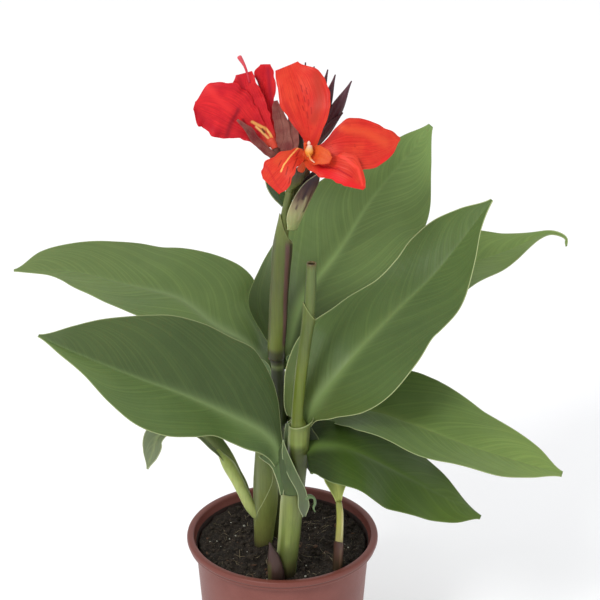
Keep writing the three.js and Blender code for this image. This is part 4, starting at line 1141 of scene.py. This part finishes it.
styleStalk = {"line": [(-25, 4.6, 566), (-28.5, 6.6, 578), (-33, 8, 586)], "radii": [1, 1.1, 2]}

tubeBlades = [
    {"rib": [(-3, -6, 503), (-19.5, -9, 521.5), (-35, -10, 539)], "faces": [(0.2, -0.9, 0.4)],
     "left": [3, 3, 3, 4, 4, 4, 4, 4, 3, 2, 1.4, 1, 1], "right": [3, 3, 3, 3, 3, 3, 3, 3, 4, 4, 3, 2, 1],
     "fold": [10], "ruffle": 0.2},
    {"rib": [(1, -4, 504), (2, -1, 526), (-4, 0, 552)], "faces": [(0, -0.9, 0.3)],
     "left": [3, 3, 4, 5, 6, 6, 7, 7, 6, 6, 5, 4, 2], "right": [7, 7, 8, 8, 7, 6, 6, 6, 5, 4, 3, 2, 1.4],
     "fold": [10], "ruffle": 0.3},
    {"rib": [(2, -4, 504), (9, -2, 520), (7, 2, 538)], "faces": [(0, -0.9, 0.3)], "left": [3, 6, 6, 4, 1],
     "fold": [10], "ruffle": 0.3},
]
tubeStalks = [{"line": [(0.6, -5, 499), (-2, -4, 505), (-4, -3, 511)], "radii": [3, 3, 3.4]}]


def petalShell(petal, seed, spacing=0.9, columns=56, thickness=0.5):
    # A petal: the blade, soft lengthwise pleats, and ruffles that grow towards its margin.
    grid = bladeGrid(petal, max(24, int(ribLength(petal) / spacing)), columns)
    t, v, d = grid["t"], grid["v"], grid["distance"]
    along = t * grid["length"]
    ruffle = petal["ruffle"] * np.abs(v) ** 3 * unevenness(along + 40 * (v > 0), 0 * v, 7, seed)
    billow = 0.8 * petal["ruffle"] * unevenness(along, d + 60, 15, seed + 1)
    ruffle = ruffle + billow * smoothStep(0.1, 0.6, t)
    pleat = 0.12 * np.sin(2 * np.pi * v * 6) * smoothStep(0.05, 0.3, t) * (1 - smoothStep(0.7, 1, t))
    frill = petal.get("frill", 0.4) * v * np.abs(v) ** 5
    frill = frill * unevenness(along + 60 * (v > 0), 0 * v, 5, seed + 2)
    middle = grid["points"] + grid["up"][:, None] * (ruffle + pleat)[..., None]
    middle = middle + grid["left"][:, None] * (frill * smoothStep(0.15, 0.4, t))[..., None]
    color, share = markPaint(middle, petal.get("marks", []))
    share = share[..., None] * np.array([1.0, 0, 0])
    thin = thickness / 2 * (1 - 0.5 * v**2)
    rim = smoothStep(1.0, 0.2, grid["half"] - np.abs(d))
    leafMap = np.stack([v * 0.02, along * mm, t], axis=-1)
    marks = np.stack([np.exp(-(d / 1.6) ** 2), rim, np.zeros_like(t)], axis=-1)
    maps = {"leafMap": (leafMap, leafMap), "leafMarks": (marks, marks + underside),
            "markTone": (color, color), "markShare": (share, share)}
    return plateShell(middle, thin, thin, maps)


def petalStalkShell(stalk, share=0.02):
    # a stalk coloured like the throat of the petals it carries
    rings = stalkRings(stalk, 24, 1)
    none = np.zeros_like(rings["points"])
    leafMap = none + share * rings["t"][:, None, None] * np.array([0, 1, 1])
    maps = {"leafMap": leafMap, "leafMarks": none, "markTone": none, "markShare": none}
    return tubeShell(rings["points"], maps)


petalLooks = {
    "orangeRed": {
        "throat": (196, 70, 32), "main": (194, 34, 24), "pale": (206, 58, 34), "edge": (206, 48, 34),
        "speck": (140, 14, 8), "specks": 0.8, "glow": 0.08,
    },
    "crimson": {
        "throat": (200, 72, 52), "main": (180, 12, 30), "pale": (206, 32, 36), "edge": (206, 36, 40),
        "speck": (120, 4, 16), "specks": 0.3, "glow": 0.08,
    },
    "maroon": {
        "throat": (86, 48, 38), "main": (112, 42, 42), "pale": (146, 96, 84), "edge": (132, 74, 66),
        "speck": (66, 26, 32), "specks": 0.2, "glow": 0.04,
    },
    "stamenYellow": {
        "throat": (196, 70, 28), "main": (188, 52, 22), "pale": (206, 88, 36), "edge": (190, 50, 28),
        "speck": (160, 26, 12), "specks": 0.9, "glow": 0.1,
    },
}


# What every petal shares. speckRise and speckFall are the shares of its length where the specks come and
# go; dullness is where its fine lines turn rougher, and how rough.
petalSurface = {
    "roughness": 0.55, "specular": 0.2, "driftSize": 18.0, "lineScale": (1500, 45, 1),
    "lineNoise": (1.0, 2.0, 0.6), "veinRange": (0.4, 0.68), "vein": 0.36, "throatRange": (0.22, 0.02),
    "speckScale": (900, 260, 1), "speckSize": (0.28, 0.16), "speckRise": (0.1, 0.25),
    "speckFall": (0.75, 0.45), "fewRange": (0.52, 0.62), "rim": 0.4, "dullness": (0.3, 0.7, 0.42, 0.58),
    "bump": (0.15, 0.5),
}


def petalSkin(name, look, surface=petalSurface):
    # Soft petal: throat colour at the foot, lengthwise veins, scattered specks and a lighter margin.
    look = shown(look)
    material, tree, shader = startMaterial(name, {
        "Roughness": surface["roughness"], "Specular IOR Level": surface["specular"],
        "Subsurface Weight": look["glow"], "Subsurface Scale": 0.003})
    leafMap = attribute(tree, "leafMap")
    rim = split(tree, attribute(tree, "leafMarks"))[1]
    along = split(tree, leafMap)[2]
    drift = toneDrift(tree, here(tree), surface["driftSize"])
    lines = noise(tree, scaled(tree, leafMap, surface["lineScale"]), *surface["lineNoise"])
    veins = spread(tree, lines, *surface["veinRange"])
    color = blend(tree, drift, look["main"], look["pale"])
    color = blend(tree, times(tree, veins, surface["vein"]), color, look["speck"])
    color = blend(tree, spread(tree, along, *surface["throatRange"]), color, look["throat"])
    spotted = scaled(tree, leafMap, surface["speckScale"])
    spot = add(tree, "ShaderNodeTexVoronoi", {"Vector": spotted, "Scale": 1.0})
    dots = spread(tree, spot.outputs["Distance"], *surface["speckSize"])
    rise = spread(tree, along, *surface["speckRise"])
    where = times(tree, rise, spread(tree, along, *surface["speckFall"]))
    few = spread(tree, noise(tree, here(tree), 160.0, 1.0), *surface["fewRange"])
    dots = times(tree, times(tree, dots, few), times(tree, where, look["specks"]))
    color = blend(tree, dots, color, look["speck"])
    color = blend(tree, times(tree, rim, surface["rim"]), color, look["edge"])
    color = blend(tree, split(tree, attribute(tree, "markShare"))[0], color, attribute(tree, "markTone"))
    finish(tree, shader, color, spread(tree, lines, *surface["dullness"]), lines, *surface["bump"])
    return material


petalSkins = {key: petalSkin(key + "Petal", look) for key, look in petalLooks.items()}

# each bloom's blades, stalks, skin, the solid that it stands for, its slot and its seed
blooms = {
    "frontBloomPetals": (frontPetals, frontStalks, "orangeRed", "front_bloom_petals", "petal_orange_red", 41),
    "frontBloomStamens": (stamenBlades, stamenStalks, "stamenYellow", "front_bloom_stamens",
                          "stamen_yellow", 61),
    "backBloomPetals": (backPetals, backStalks, "crimson", "back_bloom_petals", "petal_crimson", 71),
    "backBloomTube": (tubeBlades, tubeStalks, "maroon", "back_bloom_tube", "petal_maroon", 91),
}
for name, (blades, stalks, skin, node, slotName, seed) in blooms.items():
    shells = [petalShell(blade, seed + 3 * k) for k, blade in enumerate(blades)]
    shells += [petalStalkShell(stalk) for stalk in stalks]
    makePiece(name, shells, petalSkins[skin], [node])
print("blooms made")


# ---- flower axis, buds and small parts

axisLook = {"bands": [(470, (96, 108, 52)), (482, (92, 96, 48)), (490, (76, 70, 40)), (500, (62, 48, 34))]}
axisStalks = [
    {"line": [(7.1, -8, 477.2), (9, -8.5, 484), (13, -9, 492), (18, -8, 500)],
     "radii": [3.2, 3.6, 3.6, 2.4]},
    {"line": [(10, -10, 482), (13, -14, 490), (16, -19, 499)], "radii": [3, 5, 4]},
    {"line": [(8, -7, 482), (4, -6, 490), (1, -5, 498)], "radii": [2.5, 4.4, 3.5]},
]
budLook = {
    "bands": [(500, (82, 52, 44)), (530, (74, 42, 44)), (560, (72, 38, 48)), (580, (84, 48, 56))],
    "stripes": [(200, 200, 34, 512, 574, (112, 74, 74))],
}
# foot, belly, tip, and the belly's radius of each closed bud
buds = [
    ((22, -6, 508), (37, -4, 528), (50, -4, 543), 4),
    ((23, -3, 508), (44, 2, 542), (57, 4, 567), 5.4),
    ((23, -2, 508), (36, 5, 545), (44, 8, 571), 4.6),
    ((22, -1, 508), (31, 8, 545), (38, 12, 574), 4.4),
    ((22, 0, 508), (24, 9, 545), (27, 14, 576), 4.2),
    ((21, 0, 508), (19, 8, 545), (20, 12, 580), 4),
]
budStalks = [{"line": [(18.3, -7.6, 500.9), (22, -4, 508), (25, -2, 514)], "radii": [2.4, 3.4, 3]}]
budStalks += [{"line": [foot, belly, tip], "radii": [2, radius, 0.6]} for foot, belly, tip, radius in buds]
antherStalks = [
    {"line": [(22.6, -43, 521), (22.8, -44.4, 525), (23.2, -43.6, 529)], "radii": [2, 3.4, 2]},
    {"line": [(22.4, -42, 529.4), (22.6, -41.8, 530.6), (22.6, -41.4, 532)], "radii": [1, 1.5, 0.8]},
    {"line": [(22.5, -48, 524), (24, -49.6, 520.4), (27, -50, 517.6)], "radii": [0.7, 0.9, 0.4]},
]
antherLook = {
    "bands": [(518, (224, 180, 160)), (521, (206, 122, 40)), (526, (214, 136, 50)), (528, (204, 160, 110)),
              (530.4, (222, 186, 170))],
}
styleLook = {"bands": [(560, (176, 24, 44)), (576, (184, 48, 62)), (590, (204, 84, 92))]}

# each piece's stalks, their paint, the solid that it stands for and its slot
smallParts = {
    "flowerAxis": (axisStalks, axisLook, ["flower_axis"], "axis_brown_green"),
    "flowerBuds": (budStalks, budLook, ["flower_buds"], "bud_purple"),
    "flowerStyle": ([styleStalk], styleLook, [], "petal_crimson"),
    "frontBloomAnther": (antherStalks, antherLook, [], "stamen_yellow"),
}
for name, (stalks, look, nodes, slotName) in smallParts.items():
    shells = [stalkShell({**stalk, **look}, 28, 1.2) for stalk in stalks]
    makePiece(name, shells, stemGreen, nodes)
print("axis and buds made")


# ---- pot

potShape = {
    "height": 150, "rimRadius": 85, "mouthRadius": 78.5, "neckRadius": 77, "footRadius": 67, "wall": 1.8,
    "floor": 3, "beadHeight": 5, "skirtHeight": 9, "drainRadius": 5, "drainCircle": 42, "drainCount": 6,
    "sides": 192,
}


def softened(profile, times):
    # cuts each corner of an open outline at a quarter of both its sides, and again
    for _ in range(times):
        low, high = profile[:-1], profile[1:]
        inner = np.stack([0.75 * low + 0.25 * high, 0.25 * low + 0.75 * high], axis=1)
        profile = np.concatenate([profile[:1], inner.reshape(-1, profile.shape[1]), profile[-1:]])
    return profile


def potShell(shape):
    # The wall's outline, from under the floor up the outside, over the rolled rim and down the inside,
    # turned about z. The radius strays by a hair round the pot, as moulded plastic does.
    top, skirt = shape["height"], shape["height"] - shape["skirtHeight"]
    groove = top - shape["beadHeight"] - 0.6
    rim, mouth = shape["rimRadius"], shape["mouthRadius"]
    neck, foot, wall = shape["neckRadius"], shape["footRadius"], shape["wall"]
    outline = np.array([
        [2, 0], [foot - 3, 0], [foot - 1, 0.4], [foot, 2], [foot + 1, 16], [neck - 0.4, skirt - 8],
        [neck, skirt - 1.4], [rim - 3.2, skirt - 0.2], [rim - 1.6, skirt + 0.5], [rim - 1.4, skirt + 2],
        [rim - 1.4, groove - 0.8], [rim - 1.3, groove + 0.2], [rim - 0.2, groove + 0.8], [rim, top - 2.6],
        [rim - 0.6, top - 0.6], [rim - 2.4, top], [mouth + 1.4, top], [mouth + 0.2, top - 0.8],
        [mouth - 0.6, top - 4], [neck - wall, skirt - 2], [foot - wall, shape["floor"] + 1],
        [foot - wall - 1, shape["floor"]], [2, shape["floor"]]])
    within = np.concatenate([np.zeros(15), [0.5, 1], np.ones(6)])
    outline = softened(np.column_stack([outline, within]), 2)
    angle = np.linspace(0, 2 * np.pi, shape["sides"], endpoint=False)
    stray = 1 - 0.0012 * (1 + np.sin(2 * angle + 0.6)) - 0.0004 * (1 + np.sin(5 * angle))
    radius = outline[:, :1] * np.where(outline[:, :1] > 20, stray[None], 1)
    height = np.broadcast_to(outline[:, 1:2], radius.shape)
    rings = np.stack([radius * np.cos(angle), radius * np.sin(angle), height], axis=-1)
    return tubeShell(rings, {"within": np.ones_like(rings) * outline[:, None, 2:]})


def cutDrains(pot, shape):
    # round holes through the floor, cut and applied
    for k in range(shape["drainCount"]):
        turn = 2 * math.pi * k / shape["drainCount"]
        spot = (shape["drainCircle"] * math.cos(turn) * mm, shape["drainCircle"] * math.sin(turn) * mm, 0)
        bpy.ops.mesh.primitive_cylinder_add(vertices=32, radius=shape["drainRadius"] * mm, depth=0.02,
                                            location=spot)
        drill = bpy.context.object
        cut = pot.modifiers.new("drain", "BOOLEAN")
        cut.object, cut.operation, cut.solver = drill, "DIFFERENCE", "EXACT"
        bpy.context.view_layer.objects.active = pot
        bpy.ops.object.modifier_apply(modifier=cut.name)
        bpy.data.objects.remove(drill)


# Tones, then the places in metres between which each of them comes in. groove, rim and inside are painted
# shade: a dark line in the groove under the bead, a slightly darker rim top, and a dark inner wall that
# innerDark makes darker still below the lip.
potLook = {
    "tone": (106, 54, 46), "cloudTone": (114, 62, 54), "rim": (104, 52, 43), "groove": (78, 38, 32),
    "inside": (58, 36, 30), "innerDark": (30, 22, 17), "scuff": (170, 110, 98), "cloudSize": 30.0,
    "grainSize": 1.2, "rimShadeZ": (0.1405, 0.1415), "outsideRadius": (0.0815, 0.0825), "grooveShadeZ": 0.1442,
    "grooveShadeWidth": (0.0012, 0.0003), "lipRadius": (0.0767, 0.0763), "lipZ": (0.1362, 0.137),
    "innerDarkZ": (0.1498, 0.1472), "innerDarkStray": 0.002, "grooveShadeShare": 0.75, "insideShadeShare": 0.85,
    "scuffShare": 0.07,
}


def potSkin(look):
    # Matt moulded plastic: faint cloudy tone, scuffs round the rim and fine pebbling, with painted shade in
    # the groove under the bead, on the rim's top and on the inner wall, which turns darker below the lip.
    look = shown(look)
    material, tree, shader = startMaterial("terracottaPlastic", {"Specular IOR Level": 0.34})
    place = here(tree)
    x, y, z = split(tree, place)
    radius = math2(tree, "SQRT", plus(tree, times(tree, x, x), times(tree, y, y)))
    cloud = toneDrift(tree, place, look["cloudSize"])
    grain = toneDrift(tree, place, look["grainSize"])
    color = blend(tree, cloud, look["tone"], look["cloudTone"])
    # painted shade: the rim's top a little darker, against the light it catches
    color = blend(tree, spread(tree, z, *look["rimShadeZ"]), color, look["rim"])
    outside = spread(tree, radius, *look["outsideRadius"])
    # painted shade: a dark line in the groove under the rim's bead
    beside = math2(tree, "ABSOLUTE", math2(tree, "SUBTRACT", z, look["grooveShadeZ"]))
    groove = times(tree, spread(tree, beside, *look["grooveShadeWidth"]), outside)
    color = blend(tree, times(tree, groove, look["grooveShadeShare"]), color, look["groove"])
    # painted shade on the inner wall, then darker still below the lip
    deep = times(tree, spread(tree, radius, *look["lipRadius"]), spread(tree, z, *look["lipZ"]))
    inside = math2(tree, "MAXIMUM", split(tree, attribute(tree, "within"))[0], deep)
    color = blend(tree, times(tree, inside, look["insideShadeShare"]), color, look["inside"])
    innerDark = plus(tree, z, times(tree, grain, look["innerDarkStray"]))
    innerDark = times(tree, inside, spread(tree, innerDark, *look["innerDarkZ"]))
    color = blend(tree, innerDark, color, look["innerDark"])
    color = blend(tree, times(tree, grain, look["scuffShare"]), color, look["scuff"])
    rough = plus(tree, spread(tree, grain, 0.0, 1.0, 0.38, 0.48), times(tree, inside, 0.3))
    finish(tree, shader, color, rough, grain, 0.05, 0.25)
    return material


pot = makePiece("growerPot", [potShell(potShape)], potSkin(potLook), ["pot"])
cutDrains(pot, potShape)
print("pot made")


# ---- soil

# crown: place, height and reach of the mound round the stems
soilShape = {
    "top": 138, "rise": 2.6, "crown": (-13, -9, 6.5, 15), "lump": 2.2, "edge": 74.4, "foot": 64.9,
    "bottom": 3.3, "rings": 100, "sides": 320,
}


def soilHeight(x, y):
    # crossed waves of a few lengths, two finer layers of unevenness, a rise to the wall and a mound at
    # the crown, high * exp(-(distance / reach)^2)
    coarse = np.sin(x / 5.1 + 1.3 * np.sin(y / 7.3)) * np.sin(y / 4.7 + 0.9 * np.sin(x / 6.1))
    fine = np.sin(x / 2.3 + y / 3.1) * np.sin(y / 2.1 - x / 3.7)
    rough = 1.0 * unevenness(x + 100, y + 100, 3.4, 3) + 0.5 * unevenness(x + 100, y + 100, 1.5, 4)
    rise = soilShape["rise"] * smoothStep(50, 72, np.hypot(x, y))
    cx, cy, high, reach = soilShape["crown"]
    rise = rise + high * np.exp(-((x - cx) ** 2 + (y - cy) ** 2) / reach**2)
    return soilShape["top"] + soilShape["lump"] * (0.65 * coarse + 0.35 * fine) + rough + rise


def soilShell(shape):
    # bottom, side and top of the peat as rings about z
    angle = np.linspace(0, 2 * np.pi, shape["sides"], endpoint=False)
    bottom, foot, edge, count = shape["bottom"], shape["foot"], shape["edge"], shape["rings"]
    low = np.array([[1, bottom], [foot - 1, bottom], [foot, bottom + 1]])
    radii = np.concatenate([low[:, 0], [edge], np.linspace(edge - 0.6, 0.6, count)])
    heights = np.concatenate([low[:, 1], [shape["top"] - 4], np.full(count, shape["top"])])
    x, y = radii[:, None] * np.cos(angle), radii[:, None] * np.sin(angle)
    z = np.broadcast_to(heights[:, None], x.shape).copy()
    z[4:] = soilHeight(x[4:], y[4:])
    return tubeShell(np.stack([x, y, z], axis=-1), {})


def lumpShape():
    # an icosahedron's corners and faces
    g = (1 + 5**0.5) / 2
    corners = np.array([(-1, g, 0), (1, g, 0), (-1, -g, 0), (1, -g, 0), (0, -1, g), (0, 1, g), (0, -1, -g),
                        (0, 1, -g), (g, 0, -1), (g, 0, 1), (-g, 0, -1), (-g, 0, 1)])
    faces = np.array([(0, 11, 5), (0, 5, 1), (0, 1, 7), (0, 7, 10), (0, 10, 11), (1, 5, 9), (5, 11, 4),
                      (11, 10, 2), (10, 7, 6), (7, 1, 8), (3, 9, 4), (3, 4, 2), (3, 2, 6), (3, 6, 8),
                      (3, 8, 9), (4, 9, 5), (2, 4, 11), (6, 2, 10), (8, 6, 7), (9, 8, 1)])
    return unit(corners), faces


def scatteredLumps(count, sizes, flatness, seed, reach=70):
    # Lumps lying on the peat: each an icosahedron with strayed corners, squashed, turned and set down.
    rng = np.random.default_rng(seed)
    corners, faces = lumpShape()
    radius, bearing = reach * np.sqrt(rng.uniform(0, 1, count)), rng.uniform(0, 2 * np.pi, count)
    x, y = radius * np.cos(bearing), radius * np.sin(bearing)
    size = sizes[0] + (sizes[1] - sizes[0]) * rng.uniform(0, 1, count) ** 2.5
    stretch = [rng.uniform(0.8, 1.5, count), rng.uniform(0.6, 1.1, count), np.full(count, flatness)]
    shape = corners[None] * rng.uniform(0.75, 1.2, (count, len(corners), 1))
    shape = shape * np.stack(stretch, axis=-1)[:, None] * size[:, None, None]
    turn, tilt = rng.uniform(0, 2 * np.pi, (2, count)) * np.array([[1], [0.12]])
    sx, sy, sz = shape[..., 0], shape[..., 1], shape[..., 2]
    turn, tilt = turn[:, None], tilt[:, None]
    ty = sy * np.cos(tilt) - sz * np.sin(tilt)
    tz = sy * np.sin(tilt) + sz * np.cos(tilt)
    px = sx * np.cos(turn) - ty * np.sin(turn) + x[:, None]
    py = sx * np.sin(turn) + ty * np.cos(turn) + y[:, None]
    pz = tz + (soilHeight(x, y) + 0.35 * size * flatness)[:, None]
    points = np.stack([px, py, pz], axis=-1).reshape(-1, 3)
    index = (faces[None] + (np.arange(count) * len(corners))[:, None, None]).reshape(-1, 3)
    return {"points": points, "faces": [index], "maps": {}}


fibreBuild = {
    "count": 75, "seed": 24, "reach": 66, "bend": 1.2, "length": (7, 20), "thickness": (0.12, 0.28),
    "limit": 70, "lift": 0.5, "arch": 1.5,
}


def fibreShells(build):
    # Thin roots on the peat: each a short curved stalk lying just above it.
    rng = np.random.default_rng(build["seed"])
    shells = []
    for _ in range(build["count"]):
        radius, bearing = build["reach"] * math.sqrt(rng.uniform()), rng.uniform(0, 2 * math.pi)
        heading, bend = rng.uniform(0, 2 * math.pi), rng.uniform(-build["bend"], build["bend"])
        length, thick = rng.uniform(*build["length"]), rng.uniform(*build["thickness"])
        walk = np.linspace(0, 1, 5)
        x = radius * math.cos(bearing) + np.cumsum(np.cos(heading + bend * walk)) * length / 5
        y = radius * math.sin(bearing) + np.cumsum(np.sin(heading + bend * walk)) * length / 5
        near = np.minimum(1, build["limit"] / np.maximum(np.hypot(x, y), 1e-6))
        x, y = x * near, y * near
        arch = build["arch"] * np.sin(np.pi * walk) * rng.uniform(0, 1)
        z = soilHeight(x, y) + build["lift"] + arch
        stalk = {"line": np.stack([x, y, z], axis=-1), "radii": [thick * 0.5, thick, thick * 0.4]}
        shells.append(tubeShell(stalkRings(stalk, 6, 1.5)["points"], {}))
    return shells


def earthSkin(name, dark, light, size, roughness, depth, speck=None):
    # Rough matter: two tones mixed by fine drift, with deep fine bumps and, where asked, a scatter of
    # pale grains.
    material, tree, shader = startMaterial(name, {"Roughness": roughness, "Specular IOR Level": 0.25})
    place = here(tree)
    coarse = toneDrift(tree, place, size)
    fine = toneDrift(tree, place, size / 5)
    mixed = plus(tree, times(tree, coarse, 0.5), times(tree, fine, 0.5))
    color = blend(tree, mixed, display(*dark), display(*light))
    if speck:
        grains = toneDrift(tree, place, 1.1)
        color = blend(tree, spread(tree, grains, 0.86, 1.0, 0.0, 0.8), color, display(*speck))
    finish(tree, shader, color, None, fine, depth, 0.8)
    return material


peatSkin = earthSkin("peat", (18, 15, 12), (54, 45, 37), 5.0, 0.9, 0.8, (104, 98, 80))
makePiece("peat", [soilShell(soilShape)], peatSkin, ["soil"])

# how many, least and greatest size, flatness and seed, then what earthSkin takes after the name
scatters = {
    "peatCrumbs": (1300, (0.6, 2.8), 0.6, 21,
                   ((22, 18, 14), (72, 61, 50), 3.0, 0.9, 0.5, (116, 110, 90))),
    "barkBits": (34, (1.2, 3.4), 0.35, 22, ((58, 40, 30), (104, 76, 56), 3.0, 0.8, 0.4)),
    "perlite": (34, (0.7, 1.5), 0.8, 23, ((150, 148, 132), (226, 224, 212), 1.4, 0.85, 0.5)),
}
for name, (*lumps, skin) in scatters.items():
    makePiece(name, [scatteredLumps(*lumps)], earthSkin(name, *skin))
fibreSkin = earthSkin("rootFibres", (80, 66, 48), (160, 148, 120), 9.0, 0.7, 0.1)
makePiece("rootFibres", fibreShells(fibreBuild), fibreSkin)
print("soil made")


# ---- camera, light and floor

studio = {
    "lens": 120, "camera": (0.0156, -1.5326, 1.0709), "tiltUp": 65.6,
    "sky": 0.96, "skyTone": (0.98, 0.985, 1, 1), "key": 42, "keyPlace": (-1.2, -1.9, 2.25), "keySize": 0.8,
    "fill": 3, "fillPlace": (1.6, -1.2, 1.4), "fillSize": 1.6, "floor": (0.985, 0.985, 0.99),
    "floorDrift": (0.99, 0.99, 0.99), "floorSize": 16,
}

cameraData = bpy.data.cameras.new("camera")
cameraData.lens, cameraData.sensor_width, cameraData.clip_end = studio["lens"], 36, 50
camera = bpy.data.objects.new("camera", cameraData)
camera.location = studio["camera"]
camera.rotation_euler = (math.radians(studio["tiltUp"]), 0, 0)
bpy.context.scene.collection.objects.link(camera)
bpy.context.scene.camera = camera


def areaLight(name, place, size, power, target=(0, 0, 0.3)):
    # a round lamp that looks at the target: tilted from straight down, then turned about z
    data = bpy.data.lights.new(name, "AREA")
    data.shape, data.size, data.energy = "DISK", size, power
    light = bpy.data.objects.new(name, data)
    towards = np.array(target) - np.array(place)
    tilt = math.pi - math.acos(towards[2] / np.linalg.norm(towards))
    light.location = place
    light.rotation_euler = (tilt, 0, math.atan2(towards[1], towards[0]) - math.pi / 2)
    bpy.context.scene.collection.objects.link(light)


areaLight("keyLight", studio["keyPlace"], studio["keySize"], studio["key"])
areaLight("fillLight", studio["fillPlace"], studio["fillSize"], studio["fill"])

world = bpy.data.worlds.new("studio")
world.use_nodes = True
background = world.node_tree.nodes["Background"]
background.inputs[0].default_value = studio["skyTone"]
background.inputs[1].default_value = studio["sky"]
bpy.context.scene.world = world
bpy.context.scene.view_settings.view_transform = "Standard"

bpy.ops.mesh.primitive_plane_add(size=studio["floorSize"])
floor = bpy.context.object
floor.name = "floor"
paper, paperTree, paperShader = startMaterial("floorPaper", {"Roughness": 0.9, "Specular IOR Level": 0.1})
paperTone = toneDrift(paperTree, here(paperTree), 900.0)
finish(paperTree, paperShader, blend(paperTree, paperTone, studio["floor"], studio["floorDrift"]))
floor.data.materials.append(paper)

print("camera, light and floor made")
